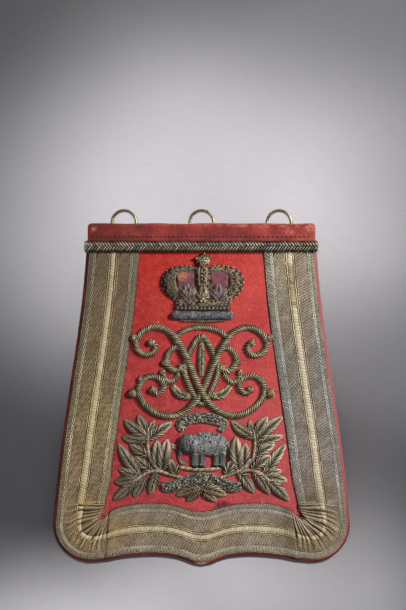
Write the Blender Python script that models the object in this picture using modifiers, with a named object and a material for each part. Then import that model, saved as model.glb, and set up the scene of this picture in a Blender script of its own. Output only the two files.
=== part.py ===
"""A cavalry officer's sabretache, lying on its back.

A stiff flap faced with scarlet cloth covers a flat leather pouch. Wide metal lace borders the flap and is
gathered in a fan at each bottom corner, a plaited braid crosses it under the leather top, and three wire
loops stand in the top fold. Padded metal embroidery lies on the cloth: a crown, a knot of scrolls, an
elephant between two laurel sprays, and two plain ribbons.

X runs across the flap, Y up it and Z out of its face. Heights in the tables are measured up the flap
from the point of its lower edge.
"""

import math

import bmesh
import bpy
from mathutils import Matrix, Vector

MM = 0.001

# Plan sizes of the flap
FLAP_HEIGHT = 343 * MM
FLAP_TOP_HALF_WIDTH = 114 * MM
TOP_CORNER_RADIUS = 4 * MM
CORNER_CENTRE = (111 * MM, 41 * MM)
CORNER_RADIUS = 38 * MM

# Layers, from the surface it lies on to the face
GAP = 0.3 * MM
POUCH_WALL = 2 * MM
POUCH_DEPTH = 12 * MM
BOARD_THICKNESS = 3 * MM
CLOTH_THICKNESS = 0.8 * MM
LACE_THICKNESS = 1.1 * MM
LEATHER_THICKNESS = 1.8 * MM
BOARD_BOTTOM = POUCH_DEPTH + GAP
BOARD_TOP = BOARD_BOTTOM + BOARD_THICKNESS
CLOTH_BOTTOM = BOARD_TOP + GAP
CLOTH_TOP = CLOTH_BOTTOM + CLOTH_THICKNESS
SEAT = CLOTH_TOP + GAP

# Edge piping, lace border and its corner fans
PIPING_RADIUS = 2.1 * MM
PIPING_LEVEL = BOARD_BOTTOM + PIPING_RADIUS
PIPING_TOP_HEIGHT = 312.9 * MM
BOARD_INSET = 2 * PIPING_RADIUS + GAP
LACE_OUTER_INSET = 3.2 * MM
LACE_INNER_INSET = 51 * MM
LACE_TOP_HEIGHT = 318.4 * MM
LACE_STRIPE_RISE = 0.4 * MM
# Across the lace, from its outer edge: share of its width, stripe raised or not, share of a pleat's rise
LACE_SECTION = ((0, 0, 0.25), (0.45, 0, 0.75), (0.465, 1, 0.75), (0.535, 1, 0.85), (0.55, 0, 0.85), (1, 0, 0.6))
# Where its sections stand: x along the foot, and height up the side (mm)
LACE_FOOT_STATIONS = (0, 9, 17, 25, 34, 44, 52, 62, 72, 82, 91)
LACE_SIDE_STATIONS = (68, 96, 132, 168, 204, 240, 276, 312)
FAN_CENTRE = (102.5 * MM, 51.5 * MM)
FAN_INNER_RADIUS = 3 * MM
FAN_FROM_DEG = 12
FAN_TO_DEG = -100
FAN_PLEATS = 12
PLEAT_RISE = 1.5 * MM

# Leather top, braid and loops
TOP_LEATHER_FOOT = 319 * MM
TOP_LEATHER_BACK_FOOT = 296 * MM
BOARD_TOP_HEIGHT = 333.5 * MM
BRAID_HEIGHT = 319 * MM
BRAID_WIDTH = 11.5 * MM
BRAID_THICKNESS = 4.6 * MM
BRAID_HALF_SPAN = 114.6 * MM
BRAID_END_THICKNESS = 2.6 * MM
BRAID_END_RADIUS = 2.6 * MM
BRAID_TURN_DOWN = 3.4 * MM
BRAID_ROUNDING = 1.1 * MM
LOOP_WIRE_RADIUS = 1.15 * MM
LOOP_RADIUS = 12.1 * MM
LOOP_SPACING = 78 * MM
LOOP_ARCH_HEIGHT = 343.5 * MM
LOOP_BEND_RADIUS = 2 * MM
LOOP_HOLE_RADIUS = LOOP_WIRE_RADIUS + 1.3 * GAP
LOOP_HOLE_DEPTH = 8 * MM
# The top leather is cut this much inside its width, by cutters that reach this far past it
TRIM = 0.2 * MM
CUTTER_REACH = 5 * MM

# Pouch behind the flap
POUCH_MOUTH_HEIGHT = 290 * MM
POUCH_BACK_TOP = 340 * MM
POUCH_MOUTH_HALF_WIDTH = 95 * MM
POUCH_TOP_HALF_WIDTH = 93 * MM
POUCH_CORNER_CENTRE = (94 * MM, 72 * MM)
POUCH_CORNER_RADIUS = 30 * MM
POUCH_CORNER_TURN_DEG = 97
GUSSET_INSET = 1 * MM
GUSSET_THICKNESS = 1.3 * MM
GUSSET_FOLD = 3 * MM
MOUTH_DIP = 10 * MM

OVERALL_HEIGHT = LOOP_ARCH_HEIGHT + LOOP_RADIUS + LOOP_WIRE_RADIUS
TIP_Y = -OVERALL_HEIGHT / 2

# Lower edge of the flap: half width, height (mm)
FLAP_FOOT = ((0, 0), (9, 1.6), (17, 4.8), (30, 8.4), (52, 9.8), (78, 7.8), (96, 4.4), (111, 3))
# Side of the flap: half width, height (mm)
FLAP_SIDE = (
    (149, 41), (146, 72), (140.4, 120), (133.6, 168), (126.4, 216), (120, 264), (115.6, 312), (114, 343),
)

# Embroidery, in mm: x, height above the flap's point, half width of the padding
KNOT_STRAND = (
    (-50, 176, 2.6), (-44, 172, 2.6), (-38, 177.5, 2.7), (-40, 185.5, 2.7), (-49, 189.5, 2.7), (-58.5, 186, 2.8),
    (-63.5, 175.5, 2.9), (-58.5, 163, 3.0), (-46, 153, 3.1), (-31, 149.5, 3.1), (-16, 155, 3.1), (-5, 166, 3.1),
    (3, 180, 3.2), (11, 199, 3.2), (20, 218, 3.1), (31, 232.5, 2.9), (46, 238.3, 2.8), (59.5, 233, 2.8),
    (65.5, 221.5, 2.8), (60.5, 212, 2.8), (50.5, 211, 2.7), (45.5, 218.5, 2.6), (51.5, 223.5, 2.4),
)
KNOT_ARCH = ((29, 226.5, 2.2), (16, 235.4, 2.5), (0, 238.6, 2.7), (-16, 235.4, 2.5), (-29, 226.5, 2.2))
KNOT_LOZENGE = ((0, 229), (11, 214), (17, 197), (12, 179), (0, 161), (-12, 179), (-17, 197), (-11, 214))
KNOT_LOZENGE_HALF_WIDTH = 2.6
KNOT_TENDRIL = (
    (19, 217, 2.2), (27.5, 217.5, 2.5), (34, 210, 2.7), (33.6, 200, 3.0), (27, 194.5, 3.2), (20, 196.5, 3.4),
)
KNOT_LEAF = ((7, 171, 2.2), (15, 169.6, 4.0), (22.5, 172.5, 4.4), (29, 179.5, 2.2))
KNOT_HEART = ((0, 228.4, 1.6), (0, 214, 3.2), (0, 202, 3.8), (0, 190, 2.0))
# Ball ends of the knot: x, height, radius
KNOT_KNOBS = (
    (68.9, 172.4, 4.4), (67.6, 227.5, 3.7), (36.3, 202.6, 3.2), (48.6, 175.6, 3.4), (50.4, 222.6, 3.2),
    (20, 197.4, 4.2),
)

# Laurel stems as x, height, half width; leaves as base x, height, tip x, height, half width
LEFT_STEM = ((-24, 88.6, 1.2), (-41.7, 94.6, 1.3), (-50.5, 105.7, 1.2), (-53.8, 118.5, 1.1), (-53, 132, 0.9))
LEFT_SIDE_STEM = ((-40, 94, 1.1), (-48, 94.4, 1.1), (-57, 91.2, 1.1), (-66, 85, 0.9))
LEFT_LEAVES = (
    (-52.9, 129, -63.1, 150.5, 3.7), (-53.4, 127, -77.4, 145.8, 3.8), (-53.5, 124.5, -79.3, 128.6, 3.4),
    (-53, 126, -29.5, 142.6, 3.5), (-53, 131, -46.8, 144.5, 1.9), (-52.5, 109, -71.6, 121, 3.5),
    (-61, 89, -83, 121.6, 3.7), (-48.7, 94, -67, 109.5, 3.5), (-46, 100, -45.8, 122, 3.4),
    (-42, 95, -35, 126, 3.8), (-25, 89.5, -31.5, 106.5, 3.0), (-61, 90.6, -82.5, 96.7, 3.0),
    (-63, 87.6, -87, 83.5, 3.8), (-64.6, 85.4, -88, 65.5, 3.7), (-57, 90, -67.8, 68.7, 3.6),
    (-46, 94, -51.9, 71.2, 3.5),
)
RIGHT_STEM = (
    (24, 88.6, 1.2), (37.4, 94.4, 1.3), (47.6, 102, 1.2), (52.3, 110, 1.1), (53.6, 124, 1.0), (52.3, 131, 0.8),
)
RIGHT_SIDE_STEM = ((38, 94.2, 1.1), (50.2, 94.8, 1.1), (60, 91.6, 1.1), (67, 85, 0.9))
RIGHT_LEAVES = (
    (53, 126, 66, 148.5, 3.8), (53.6, 123.5, 80.8, 148.5, 3.7), (53.4, 121, 81.5, 129.2, 3.4),
    (53, 127, 29.8, 144.5, 3.5), (52.5, 130, 48.4, 145.2, 1.9), (52.1, 109, 73.1, 121, 3.4),
    (62, 90, 84, 121, 3.7), (50, 95, 69.3, 109.5, 3.5), (44, 98.6, 45, 120, 3.3),
    (37.4, 94.6, 34.2, 128.6, 3.8), (25, 89.4, 31.5, 105, 3.0), (60, 91.4, 80, 94.2, 3.0),
    (62, 89.4, 85.9, 84.6, 3.7), (64.2, 87, 87.8, 64.8, 3.7), (52, 94, 68, 71.5, 3.6),
    (36.5, 93.6, 52.7, 72.5, 3.5),
)
TIE_LEAVES = ((-1.6, 78.4, 25, 70, 3.7), (-1, 76.4, 14.4, 64, 3.4))

# Ribbons: x, height, half width
UPPER_RIBBON = (
    (-19, 134, 2.8), (-23.5, 142, 4.2), (-14, 145.5, 5.2), (0, 147.5, 5.2), (14, 145.5, 5.2), (23.5, 142, 4.2),
    (19, 134, 2.8),
)
LOWER_RIBBON = (
    (-40, 79.5, 4.2), (-31, 78.6, 5.4), (-20, 82, 5.5), (0, 87.2, 5.6), (20, 82, 5.5), (31, 78.6, 5.4),
    (40, 79.5, 4.2),
)
GROUND = ((-22.5, 98, 1.0), (-12, 96.4, 1.6), (0, 95.6, 1.7), (12, 96.1, 1.6), (22, 97.8, 1.0))

# Elephant: domes as x, height, radius across, radius up, rise; then padded limbs as x, height, half width
BODY_DOMES = ((5, 121.5, 21.5, 11.8, 6.2), (-14, 122, 9.2, 9.4, 6.6), (-7.5, 120.5, 5.6, 8.2, 7.6))
FRONT_LEG = ((-5.8, 116, 4.2), (-6.2, 106, 3.4), (-6.4, 99.6, 3.4))
FRONT_LEG_BEHIND = ((1.2, 116, 4.0), (0.9, 106, 3.0), (0.6, 99.6, 3.2))
HIND_LEG = ((20.6, 117, 4.8), (21, 106, 3.2), (20.6, 99.6, 3.4))
HIND_LEG_BEHIND = ((14, 116, 4.2), (14.6, 106, 2.8), (14.4, 100, 3.0))
TRUNK = ((-20, 118, 3.8), (-21.8, 111, 2.4), (-21, 104.5, 1.9), (-17.6, 102, 1.6), (-13.6, 103.6, 1.3))
TAIL = ((25, 125, 1.3), (27.6, 119, 1.1), (27, 111, 1.0))
TUSK = ((-25.3, 119.2, 1.3), (-27.6, 119.9, 1.0), (-30.2, 121.4, 0.5))

# Crown, measured from its own middle: x, height, half width
CROWN_SHIFT = 1.3 * MM
SIDE_ARCH = (
    (25.2, 268.6, 3.4), (30, 273.5, 5.2), (34, 280.5, 6.4), (33.5, 288, 6.0), (29, 293.5, 4.4), (20, 296.6, 2.8),
    (8, 297.2, 2.3),
)
MIDDLE_ARCH = ((0, 281, 6.4), (0, 289, 7.0), (0, 297.8, 6.8))
CROWN_CAP = ((9.4, 288.3, 4.6), (16.6, 288.1, 5.0), (23.8, 287.2, 3.9))
CIRCLET = ((-26.6, 261.2, 5.4), (-14, 261.7, 6.4), (0, 261.9, 6.6), (14, 261.7, 6.4), (26.6, 261.2, 5.4))
CIRCLET_POINTS = (
    (15, 264, 15.4, 281.6, 4.6), (15, 268, 9, 275.6, 2.9), (15.4, 268, 21.2, 275.6, 2.7),
    (19.8, 263, 21.4, 270.6, 2.2),
)
ROSETTE_STALK = (0.5, 264.6, 0.2, 274, 4.1)
ROSETTE = (0.1, 274.3, 5.6, 5.3, 4.5)
CROWN_ROLL = (
    (-31, 250.4, 2.2), (-29.8, 250.4, 3.6), (-27, 250.3, 4.0), (0, 250.1, 4.0), (27, 250.3, 4.0), (29.8, 250.4, 3.6),
    (31, 250.4, 2.2),
)
CROWN_UNDERLINE = ((-20, 244.4, 0.6), (0, 244, 0.8), (20, 244.4, 0.6))
ORB = (0.6, 304.5, 6.2, 5.2, 6.0)
CROSS_ARMS = (((-7.2, 307, 1.8), (0.4, 306.6, 1.5), (8.4, 308.4, 1.9)), ((0.7, 307.6, 1.6), (0.7, 312.4, 2.1)))

# Turns that stand a flat outline up: extruded across the flap, and extruded down it
ACROSS = Matrix(((0, 0, 1, 0), (1, 0, 0, 0), (0, 1, 0, 0), (0, 0, 0, 1)))
FACING_FOOT = Matrix(((1, 0, 0, 0), (0, 0, -1, 0), (0, 1, 0, 0), (0, 0, 0, 1)))

# How far each padded section rises, as a share of its half width
ROUND_PAD = 1.05
FLAT_PAD = 0.42
LEAF_PAD = 0.72
LIMB_PAD = 1.0
ARCH_PAD = 0.7
ROLL_PAD = 1.15
# Shoulder of a pad's section as a share of its half width and of its rise
PAD_SHOULDER = (0.7, 0.74)
# Height of a leaf's middle groove as a share of its rise
LEAF_GROOVE = 0.62
# A leaf's width along its length: share of the length, share of the half width; and its bow in mm
LEAF_SHAPE = ((0, 0.4), (0.22, 0.88), (0.5, 1), (0.8, 0.8), (1, 0.2))
LEAF_BOW = 0.8
STROKE_LEAST = 0.15
# Fused pads reach this share below their seat before they are cut off level
SKIRT = 0.3
SKIRT_CUT = 12 * MM

COLOURS = {
    "scarlet_cloth": ((0.50, 0.028, 0.022), 0.9, 0.0),
    "red_leather": ((0.27, 0.022, 0.020), 0.42, 0.0),
    "pouch_leather": ((0.20, 0.024, 0.020), 0.5, 0.0),
    "metal_lace": ((0.23, 0.19, 0.12), 0.55, 0.3),
    "braid_wire": ((0.13, 0.12, 0.085), 0.5, 0.5),
    "gold_bullion": ((0.20, 0.16, 0.095), 0.5, 0.5),
    "silver_bullion": ((0.11, 0.115, 0.12), 0.5, 0.5),
    "crimson_velvet": ((0.17, 0.035, 0.055), 0.9, 0.0),
    "loop_brass": ((0.42, 0.31, 0.15), 0.32, 1.0),
}


def place(x_mm, height_mm):
    """A point of the embroidery tables as X, Y in metres."""
    return x_mm * MM, TIP_Y + height_mm * MM


def smooth_through(points, steps):
    """A Catmull-Rom curve through points, with this many steps between two of them."""
    points = [Vector(p) for p in points]
    padded = [2 * points[0] - points[1]] + points + [2 * points[-1] - points[-2]]
    out = []
    for a, b, c, d in zip(padded, padded[1:], padded[2:], padded[3:]):
        for i in range(steps):
            t = i / steps
            out.append(
                0.5 * (2 * b + (c - a) * t + (2 * a - 5 * b + 4 * c - d) * t**2 + (3 * b - a - 3 * c + d) * t**3)
            )
    out.append(points[-1])
    return out


def smooth_round(points, steps):
    """The same curve, closed."""
    points = [Vector(p) for p in points]
    count = len(points)
    out = []
    for i in range(count):
        a, b, c, d = (points[(i + k) % count] for k in (-1, 0, 1, 2))
        for j in range(steps):
            t = j / steps
            out.append(
                0.5 * (2 * b + (c - a) * t + (2 * a - 5 * b + 4 * c - d) * t**2 + (3 * b - a - 3 * c + d) * t**3)
            )
    return out


def half_outline(foot_steps, corner_steps, side_steps):
    """The flap's right-hand edge as points x, height in metres, from its lower point to its top corner."""
    foot = smooth_through([Vector(p) * MM for p in FLAP_FOOT], foot_steps)
    corner = []
    for i in range(1, corner_steps):
        angle = -math.pi / 2 * (1 - i / corner_steps)
        corner.append(Vector(CORNER_CENTRE) + CORNER_RADIUS * Vector((math.cos(angle), math.sin(angle))))
    side = smooth_through([Vector(p) * MM for p in FLAP_SIDE], side_steps)
    return foot + corner + side


def inward_normals(points):
    """Unit normals of a right-hand edge that runs up from the flap's point, turned into the flap."""
    out = []
    for i, _ in enumerate(points):
        before = points[max(i - 1, 0)]
        after = points[min(i + 1, len(points) - 1)]
        along = (after - before).normalized()
        out.append(Vector((-along.y, along.x)))
    out[0] = Vector((0, 1))
    return out


def inset_half(points, inset, top):
    """The half outline moved inwards, cut off level at this height."""
    moved = [p + n * inset for p, n in zip(points, inward_normals(points))]
    moved[0].x = 0
    kept = [p for p in moved if p.y < top - 1 * MM and p.x >= 0]
    kept.append(Vector((moved[-1].x if top >= moved[-1].y else half_width_at(moved, top), top)))
    return kept


def half_width_at(points, height):
    """Half width of a right-hand edge at a height on its side."""
    for low, high in zip(points, points[1:]):
        if low.x > 90 * MM and low.y <= height <= high.y:
            return low.x + (high.x - low.x) * (height - low.y) / (high.y - low.y)
    return points[-1].x


def both_halves(right):
    """A closed outline from its right-hand half, as X, Y in metres, running anticlockwise."""
    left = [Vector((-p.x, p.y)) for p in reversed(right) if p.x > 0]
    return [(p.x, TIP_Y + p.y) for p in right + left]


def open_at_top(right):
    """The same outline as an open line from its top left, round the foot, to its top right."""
    line = both_halves(right)
    return line[len(right):] + line[:len(right)]


def make_material(name):
    colour, roughness, metallic = COLOURS[name]
    material = bpy.data.materials.new(name)
    material.use_nodes = True
    shader = material.node_tree.nodes["Principled BSDF"]
    shader.inputs["Base Color"].default_value = (*colour, 1)
    shader.inputs["Roughness"].default_value = roughness
    shader.inputs["Metallic"].default_value = metallic
    material.diffuse_color = (*colour, 1)
    return material


def new_collection(name):
    collection = bpy.data.collections.new(name)
    bpy.context.scene.collection.children.link(collection)
    return collection


def add_object(name, data, collection, material=None):
    obj = bpy.data.objects.new(name, data)
    collection.objects.link(obj)
    if material is not None:
        data.materials.clear()
        data.materials.append(MATERIALS[material])
    return obj


def finish(obj):
    """Shades round faces smooth and keeps real edges sharp."""
    obj.data.shade_smooth()
    obj.data.set_sharp_from_angle(angle=math.radians(35))
    return obj


def as_helper(obj):
    obj.hide_render = True
    obj.display_type = "WIRE"
    return obj


def boolean(obj, operation, other):
    modifier = obj.modifiers.new(operation.lower(), "BOOLEAN")
    modifier.operation = operation
    modifier.object = as_helper(other)


def mesh_of(curve_object):
    """A mesh made from a curve object, its caps welded, and the curve removed."""
    graph = bpy.context.evaluated_depsgraph_get()
    mesh = bpy.data.meshes.new_from_object(curve_object.evaluated_get(graph))
    mesh.transform(curve_object.matrix_world)
    bpy.data.objects.remove(curve_object)
    work = bmesh.new()
    work.from_mesh(mesh)
    bmesh.ops.remove_doubles(work, verts=work.verts, dist=0.000002)
    bmesh.ops.recalc_face_normals(work, faces=work.faces)
    work.to_mesh(mesh)
    work.free()
    return mesh


def profile_object(name, points):
    """A closed section that a curve is swept with: across, up."""
    curve = bpy.data.curves.new(name, "CURVE")
    curve.dimensions = "2D"
    spline = curve.splines.new("POLY")
    spline.points.add(len(points) - 1)
    for target, (across, up) in zip(spline.points, points):
        target.co = (across, up, 0, 1)
    spline.use_cyclic_u = True
    return as_helper(add_object(name, curve, HELPERS))


def pad_profile(name, rise, middle=1.0, skirt=0.0):
    """Half of an oval on a flat seat, one unit wide each side.

    Middle lowers its crown into a groove. A skirt below the seat lets pieces that are fused cross cleanly.
    """
    across = [1, PAD_SHOULDER[0], 0, -PAD_SHOULDER[0], -1]
    up = [0, PAD_SHOULDER[1], middle, PAD_SHOULDER[1], 0]
    if skirt:
        across += [-1, 1]
        up += [-skirt, -skirt]
    return profile_object(name, [(a * MM, u * rise * MM) for a, u in zip(across, up)])


def swept(name, points, profile=None, depth=0.0, cyclic=False, resolution=2):
    """The mesh of a section swept along points, each x, y, z, scale. Without a profile it is a round tube."""
    curve = bpy.data.curves.new(name, "CURVE")
    curve.dimensions = "3D"
    curve.twist_mode = "Z_UP"
    curve.use_fill_caps = not cyclic
    if profile is None:
        curve.bevel_depth = depth
        curve.bevel_resolution = resolution
    else:
        curve.bevel_mode = "OBJECT"
        curve.bevel_object = profile
    spline = curve.splines.new("POLY")
    spline.points.add(len(points) - 1)
    for target, (x, y, z, scale) in zip(spline.points, points):
        target.co = (x, y, z, 1)
        target.radius = scale
    spline.use_cyclic_u = cyclic
    return mesh_of(add_object(name, curve, HELPERS))


def stroke_mesh(name, rows, profile, steps=2, side=1):
    """One padded stroke of embroidery along table rows x, height, half width. Side -1 is its mirror image."""
    rows = smooth_through(rows, steps) if len(rows) > 2 else [Vector(r) for r in rows]
    points = [(*place(side * r[0], r[1]), SEAT, max(r[2], STROKE_LEAST)) for r in rows]
    return swept(name, points, profile)


def leaf_mesh(name, row, profile, side=1):
    """One pointed, slightly bowed leaf from base to tip."""
    base_x, base_height, tip_x, tip_height, half_width = row
    base, tip = Vector((base_x, base_height)), Vector((tip_x, tip_height))
    bow = (tip - base).orthogonal().normalized() * LEAF_BOW
    rows = []
    for share, width in LEAF_SHAPE:
        point = base.lerp(tip, share) + bow * math.sin(math.pi * share)
        rows.append(Vector((point.x, point.y, width * half_width)))
    return stroke_mesh(name, rows, profile, steps=1, side=side)


def dome_mesh(name, x_mm, height_mm, radius_x, radius_y, rise, segments=10, rings=6, side=1):
    """The top half of a ball squashed onto the cloth."""
    work = bmesh.new()
    bmesh.ops.create_uvsphere(work, u_segments=segments, v_segments=rings, radius=1)
    x, y = place(side * x_mm, height_mm)
    bmesh.ops.scale(work, vec=(radius_x * MM, radius_y * MM, rise * MM), verts=work.verts)
    bmesh.ops.translate(work, vec=(x, y, SEAT + 0.1 * rise * MM), verts=work.verts)
    cut = bmesh.ops.bisect_plane(
        work,
        geom=work.verts[:] + work.edges[:] + work.faces[:],
        plane_co=(0, 0, SEAT - SKIRT * rise * MM),
        plane_no=(0, 0, -1),
        clear_outer=True,
    )
    bmesh.ops.holes_fill(work, edges=[e for e in cut["geom_cut"] if isinstance(e, bmesh.types.BMEdge)])
    bmesh.ops.recalc_face_normals(work, faces=work.faces)
    mesh = bpy.data.meshes.new(name)
    work.to_mesh(mesh)
    work.free()
    return mesh


def fused(name, meshes, material):
    """One node from overlapping meshes, joined by Boolean unions and cut off level where it lies on the cloth."""
    base = add_object(name, meshes[0], PARTS, material)
    for i, mesh in enumerate(meshes[1:]):
        boolean(base, "UNION", add_object(f"{name}_piece_{i}", mesh, HELPERS, material))
    box = bpy.data.meshes.new("below_seat")
    work = bmesh.new()
    bmesh.ops.create_cube(work, size=1)
    bmesh.ops.scale(work, vec=(0.5, 0.5, SKIRT_CUT), verts=work.verts)
    bmesh.ops.translate(work, vec=(0, 0, SEAT - SKIRT_CUT / 2), verts=work.verts)
    work.to_mesh(box)
    work.free()
    boolean(base, "DIFFERENCE", add_object(f"{name}_below_seat", box, HELPERS))
    return finish(base)


def plate(name, outline, bottom, top, material, collection=None, turn=None):
    """A flat outline given thickness from bottom to top, and stood up by a turn when one is given."""
    curve = bpy.data.curves.new(name, "CURVE")
    curve.dimensions = "2D"
    curve.fill_mode = "BOTH"
    curve.extrude = (top - bottom) / 2
    spline = curve.splines.new("POLY")
    spline.points.add(len(outline) - 1)
    for target, (x, y) in zip(spline.points, outline):
        target.co = (x, y, 0, 1)
    spline.use_cyclic_u = True
    helper = add_object(name + "_outline", curve, HELPERS)
    helper.matrix_world = (turn or Matrix()) @ Matrix.Translation((0, 0, (bottom + top) / 2))
    bpy.context.view_layer.update()
    return finish(add_object(name, mesh_of(helper), collection or PARTS, material))


def pouch_half(mouth, half_width, inset):
    """Right-hand half of the pouch's outline, from the middle of its foot to this height."""
    radius = POUCH_CORNER_RADIUS - inset
    points = [Vector((0, POUCH_CORNER_CENTRE[1] - radius))]
    for i in range(9):
        angle = -math.pi / 2 + math.radians(POUCH_CORNER_TURN_DEG) * i / 8
        points.append(Vector(POUCH_CORNER_CENTRE) + radius * Vector((math.cos(angle), math.sin(angle))))
    points.append(Vector((half_width - inset, mouth)))
    return points


def build_pouch():
    """Back panel, folded gusset and front panel of the flat pouch. It opens at the top, under the flap."""
    back = pouch_half(POUCH_MOUTH_HEIGHT, POUCH_MOUTH_HALF_WIDTH, 0)
    back.append(Vector((POUCH_TOP_HALF_WIDTH, POUCH_BACK_TOP)))
    plate("pouch_back", both_halves(back), 0, POUCH_WALL, "pouch_leather")

    front = pouch_half(POUCH_MOUTH_HEIGHT, POUCH_MOUTH_HALF_WIDTH, 0)
    for i in range(1, 7):
        across = 1 - i / 6
        dip = MOUTH_DIP * (1 - math.cos(math.pi * (1 - across))) / 2
        front.append(Vector((POUCH_MOUTH_HALF_WIDTH * across, POUCH_MOUTH_HEIGHT - dip)))
    plate("pouch_front", both_halves(front), POUCH_DEPTH - POUCH_WALL, POUCH_DEPTH, "pouch_leather")

    low, high = POUCH_WALL + GAP, POUCH_DEPTH - POUCH_WALL - GAP
    middle, wall, fold = (low + high) / 2, GUSSET_THICKNESS, GUSSET_FOLD
    section = ((0, low), (wall, low), (wall + fold, middle), (wall, high), (0, high), (fold, middle))
    profile = profile_object("gusset_section", section)
    half = pouch_half(POUCH_MOUTH_HEIGHT - GUSSET_INSET, POUCH_MOUTH_HALF_WIDTH, GUSSET_INSET)
    path = [(x, y, 0, 1) for x, y in open_at_top(half)]
    finish(add_object("pouch_gusset", swept("gusset_sweep", path, profile), PARTS, "pouch_leather"))


def build_flap():
    """Stiff board, the scarlet cloth on it, and the piping around its edge."""
    edge = half_outline(2, 6, 1)
    board = both_halves(inset_half(edge, BOARD_INSET, BOARD_TOP_HEIGHT))
    plate("flap_board", board, BOARD_BOTTOM, BOARD_TOP, "red_leather")
    plate("cloth_face", board, CLOTH_BOTTOM, CLOTH_TOP, "scarlet_cloth")

    piping = inset_half(edge, PIPING_RADIUS, PIPING_TOP_HEIGHT)
    path = [(x, y, PIPING_LEVEL, 1) for x, y in open_at_top(piping)]
    tube = swept("piping_sweep", path, depth=PIPING_RADIUS, resolution=1)
    finish(add_object("edge_piping", tube, PARTS, "red_leather"))


def ray_to_edge(origin, direction, edge):
    """Where a ray from inside the flap meets its edge."""
    for a, b in zip(edge, edge[1:]):
        side = b - a
        cross = direction.x * side.y - direction.y * side.x
        if abs(cross) < 1e-12:
            continue
        offset = a - origin
        along = (offset.x * side.y - offset.y * side.x) / cross
        share = (offset.x * direction.y - offset.y * direction.x) / cross
        if along > 0 and 0 <= share <= 1:
            return origin + direction * along
    return None


def lace_stations():
    """Outer point, inner point and pleat rise across the right half of the lace, from the middle of the foot."""
    edge = half_outline(8, 24, 8)
    normals = inward_normals(edge)
    outer_edge = [p + n * LACE_OUTER_INSET for p, n in zip(edge, normals)]

    def square_across(wanted):
        for target, axis in wanted:
            rows = range(len(edge))
            if axis == 1:
                rows = [i for i in rows if edge[i].x > 100 * MM and edge[i].y > 50 * MM]
            else:
                rows = [i for i in rows if edge[i].y < 12 * MM and edge[i].x < 110 * MM]
            i = min(rows, key=lambda k: abs(edge[k][axis] - target * MM))
            inner = edge[i] + normals[i] * LACE_INNER_INSET
            stations.append([outer_edge[i], inner, 0])

    stations = []
    square_across([(x, 0) for x in LACE_FOOT_STATIONS])
    stations[0][0].x = 0
    stations[0][1].x = 0
    centre = Vector(FAN_CENTRE)
    for i in range(2 * FAN_PLEATS + 1):
        angle = math.radians(FAN_TO_DEG + (FAN_FROM_DEG - FAN_TO_DEG) * i / (2 * FAN_PLEATS))
        direction = Vector((math.cos(angle), math.sin(angle)))
        inner = centre + direction * FAN_INNER_RADIUS
        stations.append([ray_to_edge(centre, direction, outer_edge), inner, i % 2])
    square_across([(height, 1) for height in LACE_SIDE_STATIONS])
    slope = (stations[-1][0] - stations[-2][0]) / (stations[-1][0].y - stations[-2][0].y)
    rise = LACE_TOP_HEIGHT - stations[-1][0].y
    inner_rise = LACE_TOP_HEIGHT - stations[-1][1].y
    stations.append([stations[-1][0] + slope * rise, stations[-1][1] + slope * inner_rise, 0])
    return stations


def build_lace():
    """The wide lace border: flat along its edges, with a raised middle stripe and a gathered fan at each corner."""
    work = bmesh.new()
    rows = []
    for outer, inner, ridge in lace_stations():
        top = []
        for share, raised, pleat in LACE_SECTION:
            point = outer.lerp(inner, share)
            rise = LACE_THICKNESS + raised * LACE_STRIPE_RISE + ridge * pleat * PLEAT_RISE
            top.append(work.verts.new((point.x, TIP_Y + point.y, SEAT + rise)))
        floor = [work.verts.new((v.co.x, v.co.y, SEAT)) for v in (top[-1], top[0])]
        rows.append(top + floor)
    count = len(rows[0])
    for first, second in zip(rows, rows[1:]):
        for i in range(count):
            j = (i + 1) % count
            work.faces.new((first[i], first[j], second[j], second[i]))
    work.faces.new(rows[-1])
    bmesh.ops.recalc_face_normals(work, faces=work.faces)
    mesh = bpy.data.meshes.new("lace_border")
    work.to_mesh(mesh)
    work.free()
    lace = add_object("lace_border", mesh, PARTS, "metal_lace")
    mirror = lace.modifiers.new("mirror", "MIRROR")
    mirror.merge_threshold = 0.00001
    finish(lace)


def fold_section():
    """Closed section of the leather folded over the top, as Y, Z: up the front, round the fold, down the back."""
    back_level = POUCH_WALL + GAP
    front_level = SEAT + LEATHER_THICKNESS
    outer = (front_level - back_level) / 2
    level = (front_level + back_level) / 2
    centre = FLAP_HEIGHT - outer
    inner = outer - LEATHER_THICKNESS
    steps = 10
    points = [(TOP_LEATHER_FOOT, level + outer)]
    angles = [math.pi / 2 - math.pi * i / steps for i in range(steps + 1)]
    points += [(centre + outer * math.cos(a), level + outer * math.sin(a)) for a in angles]
    points += [(TOP_LEATHER_BACK_FOOT, level - outer), (TOP_LEATHER_BACK_FOOT, level - inner)]
    points += [(centre + inner * math.cos(a), level + inner * math.sin(a)) for a in reversed(angles)]
    points.append((TOP_LEATHER_FOOT, level + inner))
    return points, level, centre + inner


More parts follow.
